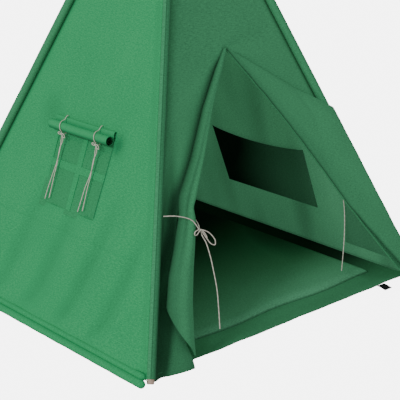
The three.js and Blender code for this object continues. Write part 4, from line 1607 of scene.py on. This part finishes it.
class Inside(Part):
    """The floor sheet, the padded mat, the inner pocket, the dark sheet with the painted shadow of the right
    flap, and the side tag.
    """

    def build(self) -> None:
        """Makes everything that lies or hangs inside."""
        self.floor()
        self.mat()
        self.pocket()
        self.patch()
        self.tag()

    def floor(self) -> None:
        """The floor sheet: flat, with its sides under the hems.

        Its front edge lifts 7 mm with soft puckers. At its front and back edges it is 42 mm narrower
        at each side, clear of the poles' feet. Towards the back and the right it lies in shade.
        """
        front, back = -0.574, 0.604
        y = np.concatenate([
            np.linspace(front, -0.440, 34)[:-1],
            np.linspace(-0.440, 0.560, 56)[:-1],
            np.linspace(0.560, back, 30),
        ])
        xx, yy = np.meshgrid(np.linspace(-1.0, 1.0, 190), y)
        lift = 0.0072 * smoothstep(yy, -0.500, front)
        pucker = 0.0010 * ripple(xx, yy * 0.4, 81, 0.09) * smoothstep(yy, -0.44, -0.53)
        zz = 0.0022 + lift + np.abs(pucker) + 0.0006 * smoothstep(yy, -0.44, -0.5)
        edge = yy + 0.0035 * ripple(xx, xx * 0, 82, 0.22) * smoothstep(yy, -0.45, front)
        wide = 0.583 + 0.042 * smoothstep(np.abs(yy), 0.5880, 0.5845)
        xx = xx * wide
        points = np.stack([xx, edge, zz], axis=-1)
        away = np.minimum(np.minimum(wide - np.abs(xx), yy - front), back - yy)
        behind = smoothstep(yy - 0.35 * xx, -0.40, 0.15)
        beside = smoothstep(xx, 0.44, 0.50) * smoothstep(yy, -0.58, -0.26)
        cloth = Cloth.grid(points, None, np.stack([xx + yy, away], -1))
        cloth.worn(0.93 * np.maximum(behind, beside))
        obj = self.sew("cloth_floor", cloth.shell(0.0014), FLOOR, None, ["floor_sheet"])

    def mat(self) -> None:
        """The padded mat: a low cushion with rolled edges, a wavy front edge and a soft, uneven top.

        Its half-thickness rises from the rim as a quarter circle, sqrt(1 - (1 - t)^2) with t from 0
        to 1 over 30 mm, like the side of a pillow. Rows and columns crowd towards the rim. Towards
        the back and the right it lies in shade.
        """
        s = self.sizes

        def crowd(count: int) -> Array:
            """Places from -1 to 1 that crowd towards both ends."""
            even = np.linspace(-1, 1, count)
            return np.sign(even) * (1 - (1 - np.abs(even)) ** 1.35)

        aa, bb = np.meshgrid(crowd(190), crowd(170))
        cy, hy = sum(s.mat_y) / 2, (s.mat_y[1] - s.mat_y[0]) / 2
        wave = 0.006 * np.sin(aa * 7.5 + 0.8) * smoothstep(bb, -0.6, -1.0)
        x, y = s.mat_x * aa, cy + hy * bb + wave
        rim = np.minimum(s.mat_x * (1 - np.abs(aa)), hy * (1 - np.abs(bb)))
        half = 0.0074 * np.sqrt(np.clip(1 - (1 - np.clip(rim / 0.030, 0, 1)) ** 2, 0.0, 1.0)) + 0.0004
        soft = 0.0011 * ripple(x, y, 83, 0.30) + 0.0005 * ripple(x, y, 84, 0.09)
        mid = 0.0046 + half
        high = mid + half + soft * smoothstep(rim, 0.0, 0.05)
        points = np.concatenate([np.stack([x, y, z], axis=-1).reshape(-1, 3) for z in (high, mid - half)])
        quads = grid_faces(np.arange(x.size).reshape(x.shape)).reshape(-1, 4)
        faces = np.concatenate([quads, quads[:, ::-1] + x.size, rim_faces(quads, x.size)])
        dim = smoothstep(y - 0.30 * x, -0.50, 0.20)
        dim = np.maximum(dim, 0.80 * (smoothstep(x, 0.20, 0.50) * smoothstep(y, -0.42, 0.0)))
        flat, seam, layer = (
            np.tile(np.stack(pair, axis=-1).reshape(-1, 2), (2, 1))
            for pair in ((x, y), (x + y, rim), (0 * dim, dim))
        )
        obj = self.sew("padded_mat", Solid(points, faces, flat, seam, layer), MAT, None, ["floor_mat"])

    def pocket(self) -> None:
        """The inner pocket: a panel that stands off the wall at its open top, which sags in the middle.

        It stands off by the square root of sin(pi u) across, growing from its foot to its top.
        Painted shade darkens it towards the back and towards its top.
        """
        s = self.sizes
        uu, vv = np.meshgrid(np.linspace(0, 1, 90), np.linspace(0, 1, 60))
        y = s.pocket_y[0] + (s.pocket_y[1] - s.pocket_y[0]) * uu
        sag = 0.010 * np.sin(np.pi * uu) * smoothstep(vv, 0.55, 1.0)
        z = s.pocket_z[0] + (s.pocket_z[1] - s.pocket_z[0]) * vv - sag
        stand = np.sqrt(np.clip(np.sin(np.pi * uu), 0.0, 1.0)) * smoothstep(vv, 0.0, 0.7)
        points = self.shape.at(Side.RIGHT, y, z, -0.0030 - 0.014 * stand)
        seam = np.stack([y + z, inside_edge(uu, vv, 0.467, 0.25)], -1)
        shade = np.clip(0.96 * smoothstep(y, -0.14, 0.24) + 0.25 * smoothstep(vv, 0.2, 1.0), 0, 0.97)
        solid = Cloth.grid(points, None, seam).worn(shade).shell(s.cloth, inside=-1)
        obj = self.sew("cloth_pocket", solid, POCKET_SHADE, None, ["inner_pocket"])

    def patch(self) -> None:
        """A dark sheet low on the right wall, a four-cornered cloth mixed from its corners: the painted
        shadow of the folded-back right flap.
        """
        u, v = np.meshgrid(np.linspace(0, 1, 30), np.linspace(0, 1, 30))
        corners = np.array([[-0.354, 0.249], [-0.484, 0.249], [-0.552, 0.060], [-0.307, 0.062]])
        mixed = (
            corners[3] * ((1 - u) * (1 - v))[..., None]
            + corners[2] * (u * (1 - v))[..., None]
            + corners[1] * (u * v)[..., None]
            + corners[0] * ((1 - u) * v)[..., None]
        )
        points = self.shape.at(Side.RIGHT, mixed[..., 0], mixed[..., 1], -0.0062)
        seam = np.stack([u + v, inside_edge(u, v, 0.18, 0.18)], -1)
        solid = Cloth.grid(points, None, seam).shell(self.sizes.cloth, inside=1)
        obj = self.sew("cloth_corner_patch", solid, FLAP_SHADOW, None, ["inner_corner_patch"])

    def tag(self) -> None:
        """The side tag: a short plain ribbon that curls down from under the front edge."""
        xx, tt = np.meshgrid(np.linspace(0.432, 0.468, 10), np.linspace(0, 1, 24))
        y = -0.573 - 0.036 * tt
        z = 0.0080 - 0.0040 * tt + 0.0008 * np.sin(tt * 5)
        points = np.stack([xx, y, z], axis=-1)
        self.sew("ribbon_tag", Cloth.grid(points).shell(0.0008), TAG, "front_frame", ["side_tag"])


# ---------------------------------------------------------------- camera and light
class Studio:
    """The camera and the light."""

    def build(self) -> None:
        """Makes the camera, the white surroundings and the key light."""
        self.camera()
        self.world()
        self.sun("key", (math.radians(60), 0.0, math.radians(-78)), 1.45, math.radians(14))

    def camera(self) -> None:
        """A long lens at standing height, in front and to the left."""
        data = bpy.data.cameras.new("camera")
        data.lens, data.sensor_width = 104.73, 36.0
        data.clip_end = 50.0
        cam = bpy.data.objects.new("camera", data)
        cam.location = (-2.4834, -2.8985, 1.5643)
        cam.rotation_euler = (math.radians(90 - 18.70), 0.0, -math.radians(42.06))
        bpy.context.scene.collection.objects.link(cam)
        bpy.context.scene.camera = cam

    def world(self) -> None:
        """White to the camera, and a softer white to the tent."""
        world = bpy.data.worlds.new("studio")
        world.use_nodes = True
        tree = world.node_tree
        tree.nodes.clear()
        path = tree.nodes.new("ShaderNodeLightPath")
        shown, light = tree.nodes.new("ShaderNodeBackground"), tree.nodes.new("ShaderNodeBackground")
        light.inputs["Strength"].default_value = 0.52
        shown.inputs["Strength"].default_value = 6.0
        for node in (shown, light):
            node.inputs["Color"].default_value = (1.0, 1.0, 1.0, 1.0)
        mix, out = tree.nodes.new("ShaderNodeMixShader"), tree.nodes.new("ShaderNodeOutputWorld")
        tree.links.new(path.outputs["Is Camera Ray"], mix.inputs[0])
        tree.links.new(light.outputs[0], mix.inputs[1])
        tree.links.new(shown.outputs[0], mix.inputs[2])
        tree.links.new(mix.outputs[0], out.inputs["Surface"])
        bpy.context.scene.world = world

    def sun(self, name: str, turn: tuple[float, float, float], strength: float, spread: float) -> None:
        """A wide distant light."""
        data = bpy.data.lights.new(name, "SUN")
        data.energy, data.angle = strength, spread
        obj = bpy.data.objects.new(name, data)
        obj.rotation_euler = turn
        bpy.context.scene.collection.objects.link(obj)


def main() -> None:
    """Builds the whole scene."""
    logging.basicConfig(level=logging.INFO)
    shape, materials = TentShape(TentSizes()), Materials()
    Studio().build()
    for part in (Poles, Sleeves, Walls, Door, Window, Inside):
        part(shape, materials).build()
        LOG.info("built %s", part.__name__)


if __name__ == "__main__":
    main()
